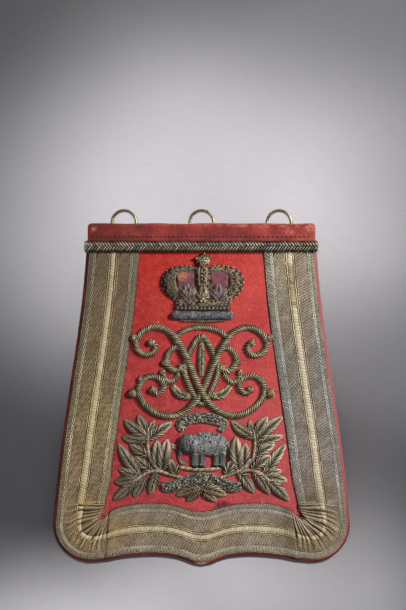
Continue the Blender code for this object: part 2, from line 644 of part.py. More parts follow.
def build_top():
    """Leather folded over the top edge, the three wire loops in its fold, and the braid across its foot."""
    section, level, fold_inside = fold_section()
    outline = [(TIP_Y + y, z) for y, z in section]
    leather = plate("top_leather", outline, -FLAP_TOP_HALF_WIDTH, FLAP_TOP_HALF_WIDTH, "red_leather", turn=ACROSS)

    half_width = FLAP_TOP_HALF_WIDTH - TRIM
    foot = TOP_LEATHER_BACK_FOOT - CUTTER_REACH
    rounded = [Vector((0, foot)), Vector((half_width, foot))]
    for i in range(6):
        angle = math.pi / 2 * i / 5
        x = half_width - TOP_CORNER_RADIUS * (1 - math.cos(angle))
        y = FLAP_HEIGHT + TRIM - TOP_CORNER_RADIUS * (1 - math.sin(angle))
        rounded.append(Vector((x, y)))
    trim = plate("corner_trim", both_halves(rounded), -CUTTER_REACH, SEAT + CUTTER_REACH, "red_leather", HELPERS)
    boolean(leather, "INTERSECT", trim)

    bar_height = fold_inside - GAP - LOOP_WIRE_RADIUS
    for name, side in (("left", -1), ("centre", 0), ("right", 1)):
        middle = side * LOOP_SPACING
        for leg in (-1, 1):
            hole = bpy.data.meshes.new("loop_hole")
            work = bmesh.new()
            bmesh.ops.create_cone(
                work,
                cap_ends=True,
                segments=12,
                radius1=LOOP_HOLE_RADIUS,
                radius2=LOOP_HOLE_RADIUS,
                depth=LOOP_HOLE_DEPTH,
                matrix=Matrix.Rotation(math.pi / 2, 4, "X"),
            )
            work.to_mesh(hole)
            work.free()
            cutter = add_object(f"loop_hole_{name}_{leg}", hole, HELPERS)
            cutter.location = (middle + leg * LOOP_RADIUS, TIP_Y + FLAP_HEIGHT, level)
            boolean(leather, "DIFFERENCE", cutter)
        build_loop(f"loop_{name}", middle, bar_height, level)

    build_braid()


def build_loop(name, middle, bar_height, level):
    """One wire loop: an arch above the fold, two legs through the leather and a bar inside the fold."""
    path = []
    for i in range(13):
        angle = math.pi * i / 12
        path.append((LOOP_RADIUS * math.cos(angle), LOOP_ARCH_HEIGHT + LOOP_RADIUS * math.sin(angle)))
    corner = LOOP_RADIUS - LOOP_BEND_RADIUS
    for corner_x, first in ((-corner, math.pi), (corner, 1.5 * math.pi)):
        for i in range(4):
            angle = first + math.pi / 2 * i / 3
            x = corner_x + LOOP_BEND_RADIUS * math.cos(angle)
            y = bar_height + LOOP_BEND_RADIUS + LOOP_BEND_RADIUS * math.sin(angle)
            path.append((x, y))
    points = [(middle + x, TIP_Y + y, level, 1) for x, y in path]
    tube = swept(name + "_sweep", points, depth=LOOP_WIRE_RADIUS, cyclic=True)
    finish(add_object(name, tube, PARTS, "loop_brass"))


def build_braid():
    """The plaited braid as one flat rounded bar whose ends turn down over the edge of the flap."""
    low = SEAT + LEATHER_THICKNESS + GAP
    high = low + BRAID_THICKNESS
    inner_x, outer_x = BRAID_HALF_SPAN, BRAID_HALF_SPAN + BRAID_END_THICKNESS
    foot = low - BRAID_TURN_DOWN
    half = [Vector((inner_x, foot)), Vector((outer_x, foot))]
    for i in range(5):
        angle = math.pi / 2 * i / 4
        x = outer_x - BRAID_END_RADIUS * (1 - math.cos(angle))
        half.append(Vector((x, high - BRAID_END_RADIUS * (1 - math.sin(angle)))))
    outline = [(p.x, p.y) for p in half] + [(-p.x, p.y) for p in reversed(half)]
    outline += [(-inner_x, low), (inner_x, low)]
    middle = -(TIP_Y + BRAID_HEIGHT)
    half_width = BRAID_WIDTH / 2
    braid = plate("braid_band", outline, middle - half_width, middle + half_width, "braid_wire", turn=FACING_FOOT)
    round_off = braid.modifiers.new("round_off", "BEVEL")
    round_off.width = BRAID_ROUNDING
    round_off.segments = 2
    round_off.angle_limit = math.radians(40)


def build_knot():
    """The knot of scrolls: two mirrored strands that cross, an arch, a lozenge, tendrils, leaves and knobs."""
    round_pad = pad_profile("knot_cord", ROUND_PAD, skirt=SKIRT)
    flat_pad = pad_profile("knot_pad", LEAF_PAD, skirt=SKIRT)
    meshes = []
    for side in (1, -1):
        meshes.append(stroke_mesh("strand", KNOT_STRAND, round_pad, side=side))
    loop = smooth_round([(x, h, KNOT_LOZENGE_HALF_WIDTH) for x, h in KNOT_LOZENGE], 3)
    ring = [(*place(p[0], p[1]), SEAT, p[2]) for p in loop]
    meshes.append(swept("lozenge", ring, round_pad, cyclic=True))
    meshes.append(stroke_mesh("arch", KNOT_ARCH, round_pad))
    meshes.append(stroke_mesh("heart", KNOT_HEART, flat_pad, steps=2))
    for side in (1, -1):
        meshes.append(stroke_mesh("tendril", KNOT_TENDRIL, round_pad, steps=2, side=side))
        meshes.append(stroke_mesh("knot_leaf", KNOT_LEAF, flat_pad, steps=2, side=side))
        for x, height, radius in KNOT_KNOBS:
            meshes.append(dome_mesh("knob", x, height, radius, radius, radius, 8, 4, side))
    fused("scroll_knot", meshes, "gold_bullion")


def build_laurel():
    """The laurel spray on each side, and the small leaves under the lower ribbon."""
    leaf_pad = pad_profile("laurel_leaf", LEAF_PAD, middle=LEAF_GROOVE, skirt=SKIRT)
    round_pad = pad_profile("laurel_stem", ROUND_PAD, skirt=SKIRT)
    left = (LEFT_STEM, LEFT_SIDE_STEM, LEFT_LEAVES)
    right = (RIGHT_STEM, RIGHT_SIDE_STEM, RIGHT_LEAVES)
    for name, (stem, side_stem, leaves) in (("laurel_left", left), ("laurel_right", right)):
        meshes = [stroke_mesh("stem", stem, round_pad), stroke_mesh("side_stem", side_stem, round_pad)]
        for row in leaves:
            meshes.append(leaf_mesh("leaf", row, leaf_pad))
        fused(name, meshes, "gold_bullion")
    meshes = []
    for row in TIE_LEAVES:
        for side in (1, -1):
            meshes.append(leaf_mesh("tie_leaf", row, leaf_pad, side))
    fused("tie_leaves", meshes, "gold_bullion")


def build_elephant():
    """The elephant, its tusk and the ground that it stands on, between the two ribbons."""
    limb_pad = pad_profile("limb", LIMB_PAD, skirt=SKIRT)
    line_pad = pad_profile("line", LIMB_PAD)
    flat_pad = pad_profile("ribbon", FLAT_PAD)
    meshes = [dome_mesh("dome", *row) for row in BODY_DOMES]
    for limb in (FRONT_LEG, FRONT_LEG_BEHIND, HIND_LEG, HIND_LEG_BEHIND, TRUNK, TAIL):
        meshes.append(stroke_mesh("limb", limb, limb_pad, steps=2))
    fused("elephant", meshes, "silver_bullion")
    single_stroke("elephant_tusk", TUSK, line_pad, "silver_bullion")
    single_stroke("ground_line", GROUND, line_pad, "gold_bullion")
    single_stroke("upper_ribbon", UPPER_RIBBON, flat_pad, "silver_bullion")
    single_stroke("lower_ribbon", LOWER_RIBBON, flat_pad, "silver_bullion")


def single_stroke(name, rows, profile, material, side=1, steps=2):
    return finish(add_object(name, stroke_mesh(name, rows, profile, steps=steps, side=side), PARTS, material))


def build_crown():
    """Arches, velvet caps, pointed circlet, padded roll, orb and cross of the crown."""
    arch_pad = pad_profile("arch", ARCH_PAD)
    cap_pad = pad_profile("cap", FLAT_PAD)
    band_pad = pad_profile("band", ARCH_PAD, skirt=SKIRT)
    leaf_pad = pad_profile("crown_leaf", LEAF_PAD, middle=LEAF_GROOVE, skirt=SKIRT)
    cross_pad = pad_profile("cross", ROUND_PAD, skirt=SKIRT)
    pieces = []
    for name, side in (("left", -1), ("right", 1)):
        pieces.append(single_stroke(f"crown_arch_{name}", SIDE_ARCH, arch_pad, "gold_bullion", side))
        pieces.append(single_stroke(f"crown_cap_{name}", CROWN_CAP, cap_pad, "crimson_velvet", side))
    pieces.append(single_stroke("crown_arch_middle", MIDDLE_ARCH, arch_pad, "gold_bullion"))
    meshes = [stroke_mesh("band", CIRCLET, band_pad)]
    for row in CIRCLET_POINTS:
        for side in (1, -1):
            meshes.append(leaf_mesh("point", row, leaf_pad, side))
    meshes.append(leaf_mesh("stalk", ROSETTE_STALK, leaf_pad))
    meshes.append(dome_mesh("rosette", *ROSETTE))
    pieces.append(fused("crown_circlet", meshes, "gold_bullion"))
    roll_pad = pad_profile("roll", ROLL_PAD)
    pieces.append(single_stroke("crown_roll", CROWN_ROLL, roll_pad, "silver_bullion", steps=1))
    pieces.append(single_stroke("crown_underline", CROWN_UNDERLINE, arch_pad, "gold_bullion"))
    meshes = [dome_mesh("orb", *ORB)]
    for arm in CROSS_ARMS:
        meshes.append(stroke_mesh("cross", arm, cross_pad))
    pieces.append(fused("crown_orb", meshes, "gold_bullion"))
    for piece in pieces:
        piece.location.x = CROWN_SHIFT
        for modifier in piece.modifiers:
            modifier.object.location.x = CROWN_SHIFT


def build():
    build_pouch()
    build_flap()
    build_lace()
    build_top()
    build_knot()
    build_laurel()
    build_elephant()
    build_crown()


for old in list(bpy.data.objects):
    bpy.data.objects.remove(old)
PARTS = new_collection("sabretache")
HELPERS = new_collection("helpers")
MATERIALS = {name: make_material(name) for name in COLOURS}
build()
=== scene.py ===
import math

import bmesh
import bpy
import numpy as np
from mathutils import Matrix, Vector, noise


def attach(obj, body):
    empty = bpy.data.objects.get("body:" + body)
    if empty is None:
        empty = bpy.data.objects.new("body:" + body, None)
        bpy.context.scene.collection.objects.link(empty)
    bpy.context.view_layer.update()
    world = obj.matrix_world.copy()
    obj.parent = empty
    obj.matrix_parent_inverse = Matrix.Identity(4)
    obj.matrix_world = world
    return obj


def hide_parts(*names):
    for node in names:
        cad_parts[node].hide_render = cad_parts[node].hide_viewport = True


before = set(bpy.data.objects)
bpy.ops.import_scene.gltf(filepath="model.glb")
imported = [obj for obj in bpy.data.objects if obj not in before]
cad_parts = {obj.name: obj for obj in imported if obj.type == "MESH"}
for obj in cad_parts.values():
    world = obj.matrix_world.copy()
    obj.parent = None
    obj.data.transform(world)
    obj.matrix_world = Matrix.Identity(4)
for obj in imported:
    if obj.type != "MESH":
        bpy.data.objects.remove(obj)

mm = 0.001
tipY = -0.178375  # Y of the flap's lowest point; the tables give heights above it in mm
clothTop = 0.0164  # face of the scarlet cloth
seat = 0.01655  # where the embroidery is sewn down
rng = np.random.default_rng(20)  # all chance comes from here, drawn in the order of the script
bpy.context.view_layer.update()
print("frame loaded,", len(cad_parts), "nodes")


# small tools

def rgb(colour):
    # photo-like 0-255 colour to the linear numbers that shaders use
    shares = [c / 255 for c in colour]
    return tuple(c / 12.92 if c <= 0.04 else ((c + 0.055) / 1.055) ** 2.4 for c in shares) + (1.0,)


def smooth(rows, steps, closed=False):
    # Catmull-Rom curve through table rows
    rows = np.array(rows, float)
    if closed:
        ring = np.vstack([rows[-1], rows, rows[0], rows[1]])
    else:
        ring = np.vstack([2 * rows[0] - rows[1], rows, 2 * rows[-1] - rows[-2]])
    out = []
    for a, b, c, d in zip(ring, ring[1:], ring[2:], ring[3:]):
        square, cube = 2 * a - 5 * b + 4 * c - d, 3 * b - a - 3 * c + d
        for t in np.arange(steps) / steps:
            out.append(0.5 * (2 * b + (c - a) * t + square * t**2 + cube * t**3))
    if not closed:
        out.append(rows[-1])
    return np.array(out)


def unit(vectors):
    return vectors / np.maximum(np.linalg.norm(vectors, axis=-1, keepdims=True), 1e-12)


def rounded(values, amount):
    # moving average along a row of numbers
    for _ in range(amount):
        middle = (values[:-2] + 2 * values[1:-1] + values[2:]) / 4
        values = np.concatenate([values[:1], middle, values[-1:]])
    return values


def lengthsAlong(points):
    # how far each point of a line is from its start
    return np.concatenate([[0], np.cumsum(np.linalg.norm(np.diff(points, axis=0), axis=1))])


def toWorld(points, z):
    # x and height in mm to metres, at this level
    points = np.asarray(points, float)
    level = np.broadcast_to(np.asarray(z, float), points.shape[:-1])
    return np.stack([points[..., 0] * mm, tipY + points[..., 1] * mm, level], axis=-1)


class Gather:
    # collects many small shapes into one mesh, each with its own tint from 0 to 1

    def __init__(self):
        self.verts, self.faces, self.tints, self.count = [], [], [], 0

    def add(self, verts, faces, tint):
        verts = np.asarray(verts, float).reshape(-1, 3)
        self.verts.append(verts)
        self.faces.extend((np.asarray(faces) + self.count).tolist())
        self.tints.append(np.broadcast_to(np.asarray(tint, float), (len(verts),)))
        self.count += len(verts)

    def tubes(self, paths, radius, up=(0, 0, 1), sides=4, half=True, tint=0.5):
        # threads along one path or many, radius in mm; a half tube is open on the side it lies on
        paths = paths.reshape(-1, *paths.shape[-2:])
        n, k, _ = paths.shape
        radius = np.broadcast_to(radius, (n, k)) * mm
        along = unit(np.gradient(paths, axis=1))
        side = unit(np.cross(np.broadcast_to(up, paths.shape), along))
        rise = np.cross(along, side)
        turn = np.linspace(0, math.pi, sides + 1) if half else np.arange(sides) * 2 * math.pi / sides
        ring = side[:, :, None] * np.cos(turn)[:, None] + rise[:, :, None] * np.sin(turn)[:, None]
        verts = paths[:, :, None] + radius[:, :, None, None] * ring
        index = np.arange(n * k * len(turn)).reshape(n, k, len(turn))
        if not half:
            index = np.concatenate([index, index[:, :, :1]], axis=2)
        near, far = index[:, :-1], index[:, 1:]
        quads = np.stack([near[..., :-1], near[..., 1:], far[..., 1:], far[..., :-1]], axis=-1)
        tint = np.asarray(tint, float)
        if tint.ndim:
            tint = np.broadcast_to(tint.reshape(n, -1, 1), (n, k, len(turn))).ravel()
        self.add(verts, quads.reshape(-1, 4), tint)

    def sheet(self, grid, tint=0.5):
        # one surface from a grid of points (rows, columns, 3)
        rows, columns, _ = grid.shape
        index = np.arange(rows * columns).reshape(rows, columns)
        quads = np.stack([index[:-1, :-1], index[:-1, 1:], index[1:, 1:], index[1:, :-1]], axis=-1)
        self.add(grid, quads.reshape(-1, 4), np.ravel(tint) if np.ndim(tint) else tint)

    def copies(self, shape, places, sizes, tint):
        # a small shape repeated at places, each with its own size in mm
        verts, faces = shape
        sizes = np.asarray(sizes, float) * mm
        sizes = np.broadcast_to(sizes if sizes.ndim > 1 else sizes.reshape(-1, 1), places.shape)
        for place, size, shade in zip(places, sizes, np.broadcast_to(tint, (len(places),))):
            self.add(verts * size + place, faces, shade)

    def piece(self, name, look, node=None, fill=None):
        mesh = bpy.data.meshes.new(name)
        mesh.from_pydata(np.concatenate(self.verts).tolist(), [], self.faces)
        tints = np.concatenate(self.tints).astype(np.float32)
        mesh.attributes.new("tint", "FLOAT", "POINT").data.foreach_set("value", tints)
        return settle(name, mesh, look, node)


def settle(name, mesh, look, node):
    # puts a finished mesh in the scene as a piece of the object
    material, slot = looks[look]
    mesh.materials.append(material)
    mesh.shade_smooth()
    piece = bpy.data.objects.new(name, mesh)
    bpy.context.scene.collection.objects.link(piece)
    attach(piece, "root")
    if node:
        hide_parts(node)
    return piece


def closeEnds(piece, triangles=False):
    # joins the seam of a sheet that was rolled into a tube and fills its two ends
    work = bmesh.new()
    work.from_mesh(piece.data)
    bmesh.ops.remove_doubles(work, verts=work.verts, dist=0.00001)
    bmesh.ops.holes_fill(work, edges=[e for e in work.edges if e.is_boundary], sides=0)
    if triangles:
        bmesh.ops.triangulate(work, faces=[f for f in work.faces if len(f.verts) > 4])
    bmesh.ops.recalc_face_normals(work, faces=work.faces)
    work.to_mesh(piece.data)
    work.free()


def fromBmesh(work, name):
    mesh = bpy.data.meshes.new(name)
    work.to_mesh(mesh)
    work.free()
    return mesh


def shapeOf(work):
    # vertices and triangles of a small bmesh, to be repeated
    bmesh.ops.triangulate(work, faces=work.faces)
    work.verts.index_update()
    verts = np.array([v.co[:] for v in work.verts])
    faces = np.array([[v.index for v in f.verts] for f in work.faces])
    work.free()
    return verts, faces


def beadShape():
    work = bmesh.new()
    bmesh.ops.create_icosphere(work, subdivisions=2, radius=1)
    bmesh.ops.delete(work, geom=[v for v in work.verts if v.co.z < -0.6], context="VERTS")
    return shapeOf(work)


def holeShape():
    work = bmesh.new()
    bmesh.ops.create_circle(work, cap_ends=True, segments=10, radius=1)
    bmesh.ops.inset_individual(work, faces=work.faces[:], thickness=0.35, depth=-0.6)
    return shapeOf(work)


# materials

class Look:
    # short way to write a node material around one Principled shader

    def __init__(self, name, **constants):
        self.material = bpy.data.materials.new(name)
        self.material.use_nodes = True
        self.tree = self.material.node_tree
        self.shader = self.tree.nodes["Principled BSDF"]
        for key, value in constants.items():
            self.shader.inputs[key.replace("_", " ")].default_value = value
        self.place = self.add("ShaderNodeTexCoord").outputs["Object"]
        self.base = None  # colour so far

    def add(self, kind, sockets=None, **settings):
        node = self.tree.nodes.new(kind)
        for key, value in settings.items():
            setattr(node, key, value)
        for key, value in (sockets or {}).items():
            if isinstance(value, bpy.types.NodeSocket):
                self.tree.links.new(value, node.inputs[key])
            else:
                node.inputs[key].default_value = value
        return node

    def noise(self, scale, detail, roughness=0.6, stretch=None):
        place = self.place
        if stretch:
            place = self.add("ShaderNodeMapping", {"Vector": place, "Scale": stretch}).outputs[0]
        sockets = {"Vector": place, "Scale": scale, "Detail": detail, "Roughness": roughness}
        return self.add("ShaderNodeTexNoise", sockets).outputs["Fac"]

    def waves(self, place, scale, distortion, direction, **more):
        sockets = {"Vector": place, "Scale": scale, "Distortion": distortion, "Detail": 2.0} | more
        return self.add("ShaderNodeTexWave", sockets, bands_direction=direction).outputs["Fac"]

    def tint(self):
        return self.add("ShaderNodeAttribute", attribute_name="tint").outputs["Fac"]

    def ramp(self, value, *stops):
        # the value is a socket, or a noise as scale, detail, roughness and stretch
        if isinstance(value, tuple):
            value = self.noise(*value)
        node = self.add("ShaderNodeValToRGB", {"Fac": value})
        ramp = node.color_ramp
        while len(ramp.elements) < len(stops):
            ramp.elements.new(0.5)
        for element, (at, colour) in zip(ramp.elements, stops):
            element.position = at
            element.color = rgb(colour) if np.ndim(colour) else (colour, colour, colour, 1)
        return node.outputs[0]

    def mix(self, share, a, b, way="MIX"):
        a, b = (rgb(colour) if isinstance(colour, tuple) else colour for colour in (a, b))
        sockets = {0: share, 6: a, 7: b}
        return self.add("ShaderNodeMix", sockets, data_type="RGBA", blend_type=way).outputs[2]

    def paint(self, share, colour, way="MIX"):
        # lays a colour over the base, by its share
        self.base = self.mix(share, self.base, colour, way)

    def math(self, way, a, b):
        return self.add("ShaderNodeMath", {0: a, 1: b}, operation=way).outputs[0]

    def fade(self, axis, low, high, place=None):
        # 0 to 1 along one axis of the object, or of another place
        split = self.add("ShaderNodeSeparateXYZ", {0: self.place if place is None else place})
        sockets = {"Value": split.outputs[axis], "From Min": low, "From Max": high}
        return self.add("ShaderNodeMapRange", sockets).outputs[0]

    def spot(self, x, height, radius, z=0.0165, squeeze=(1, 1, 1)):
        # 1 at a place on the object, falling to 0 at this radius in mm
        centre = (x * mm, tipY + height * mm, z)
        at = self.add("ShaderNodeVectorMath", {0: self.place, 1: centre}, operation="SUBTRACT")
        at = self.add("ShaderNodeVectorMath", {0: at.outputs[0], 1: squeeze}, operation="MULTIPLY")
        far = self.add("ShaderNodeVectorMath", {0: at.outputs[0]}, operation="LENGTH").outputs["Value"]
        sockets = {"Value": far, "From Min": 0.0, "From Max": radius * mm, "To Min": 1.0, "To Max": 0.0}
        return self.add("ShaderNodeMapRange", sockets).outputs[0]

    def raggedPaint(self, where, grain, first, last, low, high, colour):
        # a place broken up by noise, painted from its low stop to its high one
        ragged = self.math("MULTIPLY", where, self.ramp(grain, first, last))
        self.paint(self.ramp(ragged, (low, 0.0), high), colour)

    def finish(self, roughness, *bumps):
        # joins colour, roughness and bumps (height, distance, strength) to the shader, lowest bump first
        normal = None
        for height, distance, strength in bumps:
            sockets = {"Height": height, "Distance": distance, "Strength": strength}
            if normal is not None:
                sockets["Normal"] = normal
            normal = self.add("ShaderNodeBump", sockets).outputs[0]
        for socket, value in (("Base Color", self.base), ("Roughness", roughness), ("Normal", normal)):
            self.tree.links.new(value, self.shader.inputs[socket])
        return self.material


wool = {
    "sheen": (255, 170, 160),
    "low": ((0.0, (178, 68, 70)), (0.5, (194, 78, 80)), (1.0, (192, 86, 88))),  # across the foot; lighter and pinker to the right, a painted sheen of the key light
    "high": ((0.0, (180, 47, 33)), (0.5, (196, 59, 47)), (1.0, (203, 79, 73))),  # across the top; lighter and pinker to the right, a painted sheen of the key light
    # real stains, except the last: painted shade, a dark spot in the hollow of the lace's right notch
    "stains_and_notch_shade": ((21, 60.5, 11, 0.85), (16, 57.0, 8, 0.6), (-43.5, 150, 9, 0.3), (101, 48, 9, 1.0)),
}


def clothLook():
    look = Look("scarlet_cloth", Sheen_Weight=0.12, Sheen_Roughness=0.5, Specular_IOR_Level=0.15,
                Sheen_Tint=rgb(wool["sheen"]))
    # painted light: the cloth's colour gets lighter and pinker towards the right, where the key light falls
    across, upward = look.fade(0, -0.075, 0.07), look.fade(1, -0.06, 0.13)
    look.base = look.mix(upward, look.ramp(across, *wool["low"]), look.ramp(across, *wool["high"]))
    look.paint(0.8, look.ramp((30, 5, 0.65), (0.3, (206, 176, 176)), (0.6, (255, 255, 255))), "MULTIPLY")
    paler = look.mix(upward, (226, 104, 104), (226, 88, 76))
    look.paint(look.ramp((130, 4, 0.7), (0.46, 0.0), (0.68, 0.45)), paler)
    nap = look.noise(620, 4, 0.75)
    look.paint(look.ramp(nap, (0.38, 0.5), (0.62, 0.0)), (120, 20, 24))
    look.paint(look.ramp((900, 3, 0.6), (0.66, 0.0), (0.76, 0.5)), (236, 150, 142))  # lint
    for x, height, radius, share in wool["stains_and_notch_shade"]:
        where = look.spot(x, height, radius, squeeze=(0.9, 1.7, 0))
        look.raggedPaint(where, (260, 5, 0.7), (0.38, 0.15), (0.6, 1.0), 0.12, (0.5, share), (78, 32, 46))
    twill = look.waves(look.place, 420, 2.5, "DIAGONAL")
    roughness = look.ramp(nap, (0.3, 0.96), (0.8, 0.78))
    return look.finish(roughness, (twill, 0.0001, 0.6), (nap, 0.0004, 0.9))


def leatherLook(name, dark, middle, bright, worn, wearAndLight):
    look = Look(name, Specular_IOR_Level=0.32)
    look.base = look.ramp((38, 5, 0.62), (0.28, dark), (0.5, middle), (0.72, bright))
    sockets = {"Vector": look.place, "Scale": 950, "Randomness": 1.0}
    grain = look.add("ShaderNodeTexVoronoi", sockets, feature="DISTANCE_TO_EDGE").outputs["Distance"]
    look.paint(look.ramp(grain, (0.0, 0.55), (0.12, 0.0)), dark)
    look.paint(look.ramp((120, 6, 0.75, (1, 2.6, 1)), (0.58, 0.0), (0.74, 0.55)), worn)  # scuffs
    if wearAndLight:
        wearAndLight(look)
    roughness = look.ramp((240, 4, 0.7), (0.3, 0.32), (0.75, 0.64))
    furrows = look.ramp(grain, (0.0, 0.0), (0.2, 1.0))
    pebble, dents = look.noise(1300, 3, 0.55), look.noise(70, 4, 0.6)
    return look.finish(roughness, (furrows, 0.00012, 0.5), (pebble, 0.00016, 0.6), (dents, 0.0009, 0.4))


# x, height, radius and strength of each bare place of the top leather
bareSpots = ((109, 339, 9, 0.7), (-107.5, 337, 5.5, 0.6), (88, 334, 8, 0.4), (-70, 336, 22, 0.12),
             (98, 325, 9, 0.25))


def topWearAndLight(look):
    # darker to the left as painted shade, away from the key light; paler along the fold, partly wear and
    # partly a painted highlight on the rolled edge, more so to the right
    side = look.fade(0, -0.11, 0.11)
    shade = look.ramp(side, (0.0, (196, 190, 188)), (0.45, (250, 244, 244)), (1.0, (248, 244, 244)))
    look.paint(1.0, shade, "MULTIPLY")
    fold = look.fade(1, tipY + 336 * mm, tipY + 342.6 * mm)
    paler = look.math("MULTIPLY", fold, look.math("ADD", side, 0.1))
    look.raggedPaint(paler, (160, 6, 0.75), (0.42, 0.0), (0.62, 1.0), 0.1, (0.7, 0.8), (224, 132, 112))
    for x, height, radius, share in bareSpots:
        where = look.spot(x, height, radius, 0.0185)
        look.raggedPaint(where, (520, 5, 0.75), (0.4, 0.0), (0.66, 1.0), 0.1, (0.6, share), (232, 138, 112))


def edgeWearAndLight(look):
    # maroon on the left and round the foot, with a painted highlight making it pinker up the right side,
    # where the key light falls
    right, above = look.fade(0, 0.09, 0.125), look.fade(1, -0.15, -0.09)
    paler = look.math("MULTIPLY", right, above)
    paler = look.math("MULTIPLY", paler, look.ramp((240, 5, 0.7), (0.3, 0.5), (0.6, 0.9)))
    look.paint(paler, (166, 74, 80))
    look.paint(look.ramp(look.tint(), (0.0, 0.8), (0.45, 0.0)), (58, 18, 18))  # pressed line
    # a pale ridge along the inner side, partly wear and partly painted highlight, stronger on the lit right
    # side
    worn = look.math("ADD", look.math("MULTIPLY", right, 0.7), 0.25)
    worn = look.math("MULTIPLY", worn, look.ramp(look.tint(), (0.55, 0.0), (1.0, 0.8)))
    look.paint(worn, (232, 168, 144))
    tip = look.spot(0, 0.5, 9, 0.0155)
    look.raggedPaint(tip, (420, 4, 0.7), (0.36, 0.2), (0.6, 1.0), 0.1, (0.6, 0.8), (224, 160, 148))


# the lace is brown and dark at the upper left, yellow lower down, grey on the right
fading = {
    "left": ((0.03, (165, 152, 129)), (0.17, (188, 169, 149)), (0.36, (202, 187, 160)),
             (0.59, (234, 218, 180)), (0.78, (232, 215, 188)), (1.0, (241, 232, 223))),
    "right": ((0.03, (241, 238, 233)), (0.17, (222, 220, 223)), (0.36, (202, 207, 221)),
              (0.59, (210, 215, 228)), (0.78, (212, 212, 229)), (1.0, (241, 232, 223))),
    "pleats": ((-108, (240, 230, 208)), (108, (200, 195, 184))),
}


def threadLook(name, tarnish, metallic, roughness, stops, patch=90, patchShare=0.6, faded=0):
    # wound metal thread: its own tint, tarnish in patches, and the fine turns of the wire
    look = Look(name, Metallic=metallic, Specular_IOR_Level=0.5)
    look.base = look.ramp(look.tint(), *stops)
    if faded:
        right, down = look.fade(0, -0.09, 0.09), look.fade(1, 0.12, -0.14)
        shade = look.mix(right, look.ramp(down, *fading["left"]), look.ramp(down, *fading["right"]))
        look.paint(float(faded), shade, "MULTIPLY")
        for x, colour in fading["pleats"]:
            shade = look.ramp(look.spot(x, 42, 50), (0.05, (255, 255, 255)), (0.5, colour))
            look.paint(1.0, shade, "MULTIPLY")
        look.paint(look.ramp(look.spot(62, 40, 42), (0.1, 0.0), (0.6, 0.14 * faded)), (255, 250, 240))
    look.paint(look.ramp((patch, 4, 0.65), (0.42, 0.0), (0.66, patchShare)), tarnish)
    fine = look.noise(2600, 2, 0.6)
    look.paint(look.ramp(fine, (0.3, 0.55), (0.6, 0.0)), (28, 24, 18))
    rough = look.ramp((700, 3, 0.6), (0.3, roughness - 0.12), (0.7, roughness + 0.18))
    return look.finish(rough, (fine, 0.00018, 0.7))


def laceLook():
    # woven ground of the lace under its surface threads; "lay" runs along and across it in mm
    look = Look("lace_ground", Metallic=0.25, Specular_IOR_Level=0.35)
    lay = look.add("ShaderNodeUVMap", uv_map="lay").outputs[0]
    ribs = look.waves(lay, 0.45, 1.2, "X", **{"Detail Scale": 3.0})
    grey, olive, brown = (108, 100, 80), (92, 80, 58), (100, 84, 60)
    look.base = look.ramp(look.fade(1, 0.0, 47.8, lay), (0.0, grey), (0.1, grey), (0.16, olive), (0.4, brown),
                          (0.6, brown), (0.84, olive), (0.9, grey))
    look.paint(look.ramp((55, 5, 0.6), (0.35, 0.0), (0.7, 0.5)), (84, 70, 50))
    look.paint(look.ramp(ribs, (0.2, 0.5), (0.7, 0.0)), (44, 36, 22))
    # painted shade: dark brown where the tint is low, in the folds between the pleats of the fans
    look.paint(look.ramp(look.tint(), (0.1, 0.6), (0.75, 0.0)), (62, 46, 24))
    return look.finish(look.ramp((400, 3), (0.3, 0.5), (0.7, 0.8)), (ribs, 0.0003, 0.7))


def velvetLook():
    look = Look("crimson_velvet", Sheen_Weight=0.3, Sheen_Roughness=0.4, Specular_IOR_Level=0.15,
                Sheen_Tint=rgb((226, 150, 176)))
    pile = look.noise(1500, 3, 0.7)
    look.base = look.ramp((160, 4, 0.6), (0.3, (102, 58, 66)), (0.7, (150, 98, 104)))
    look.paint(look.ramp(pile, (0.35, 0.5), (0.65, 0.0)), (56, 18, 32))
    bald = look.spot(-18.5, 289.5, 7.5, 0.0185, (0.8, 1.0, 0))
    look.raggedPaint(bald, (380, 5, 0.7), (0.36, 0.1), (0.6, 1.0), 0.15, (0.6, 0.8), (204, 134, 92))
    return look.finish(look.ramp(pile, (0.3, 0.95), (0.7, 0.8)), (pile, 0.0003, 0.8))


def brassLook():
    look = Look("loop_brass", Metallic=0.92)
    look.base = look.ramp((420, 5, 0.7), (0.3, (78, 70, 50)), (0.5, (146, 132, 98)), (0.7, (216, 204, 162)))
    dents = look.noise(1200, 4, 0.6)
    return look.finish(look.ramp((900, 4, 0.7), (0.3, 0.24), (0.7, 0.5)), (dents, 0.00012, 0.6))


def floorLook():
    look = Look("studio_paper", Specular_IOR_Level=0.25)
    look.base = look.ramp((6, 3, 0.5), (0.3, (205, 202, 206)), (0.7, (212, 209, 213)))
    streaks = look.ramp((60, 4, 0.7, (1, 9, 1)), (0.3, (246, 246, 246)), (0.7, (255, 255, 255)))
    look.paint(1.0, streaks, "MULTIPLY")
    return look.finish(look.ramp((500, 2), (0.3, 0.82), (0.7, 0.92)), (look.noise(900, 2), 0.00008, 0.3))


# slot, then dark, middle, bright and worn colours of each leather, and what paints its wear and its painted
# light and shade
leathers = {
    "edge_leather": ("red_leather", (76, 26, 22), (124, 46, 38), (156, 62, 52), (206, 122, 108), edgeWearAndLight),
    "top_leather": ("red_leather", (84, 24, 24), (144, 48, 41), (178, 72, 61), (204, 112, 94), topWearAndLight),
    "pouch_leather": ("pouch_leather", (78, 20, 20), (112, 30, 28), (134, 42, 36), (150, 74, 58), None),
}
# each look with its material slot
looks = {
    "scarlet_cloth": (clothLook(), "scarlet_cloth"),
    "lace_ground": (laceLook(), "metal_lace"),
    "crimson_velvet": (velvetLook(), "crimson_velvet"),
    "loop_brass": (brassLook(), "loop_brass"),
}
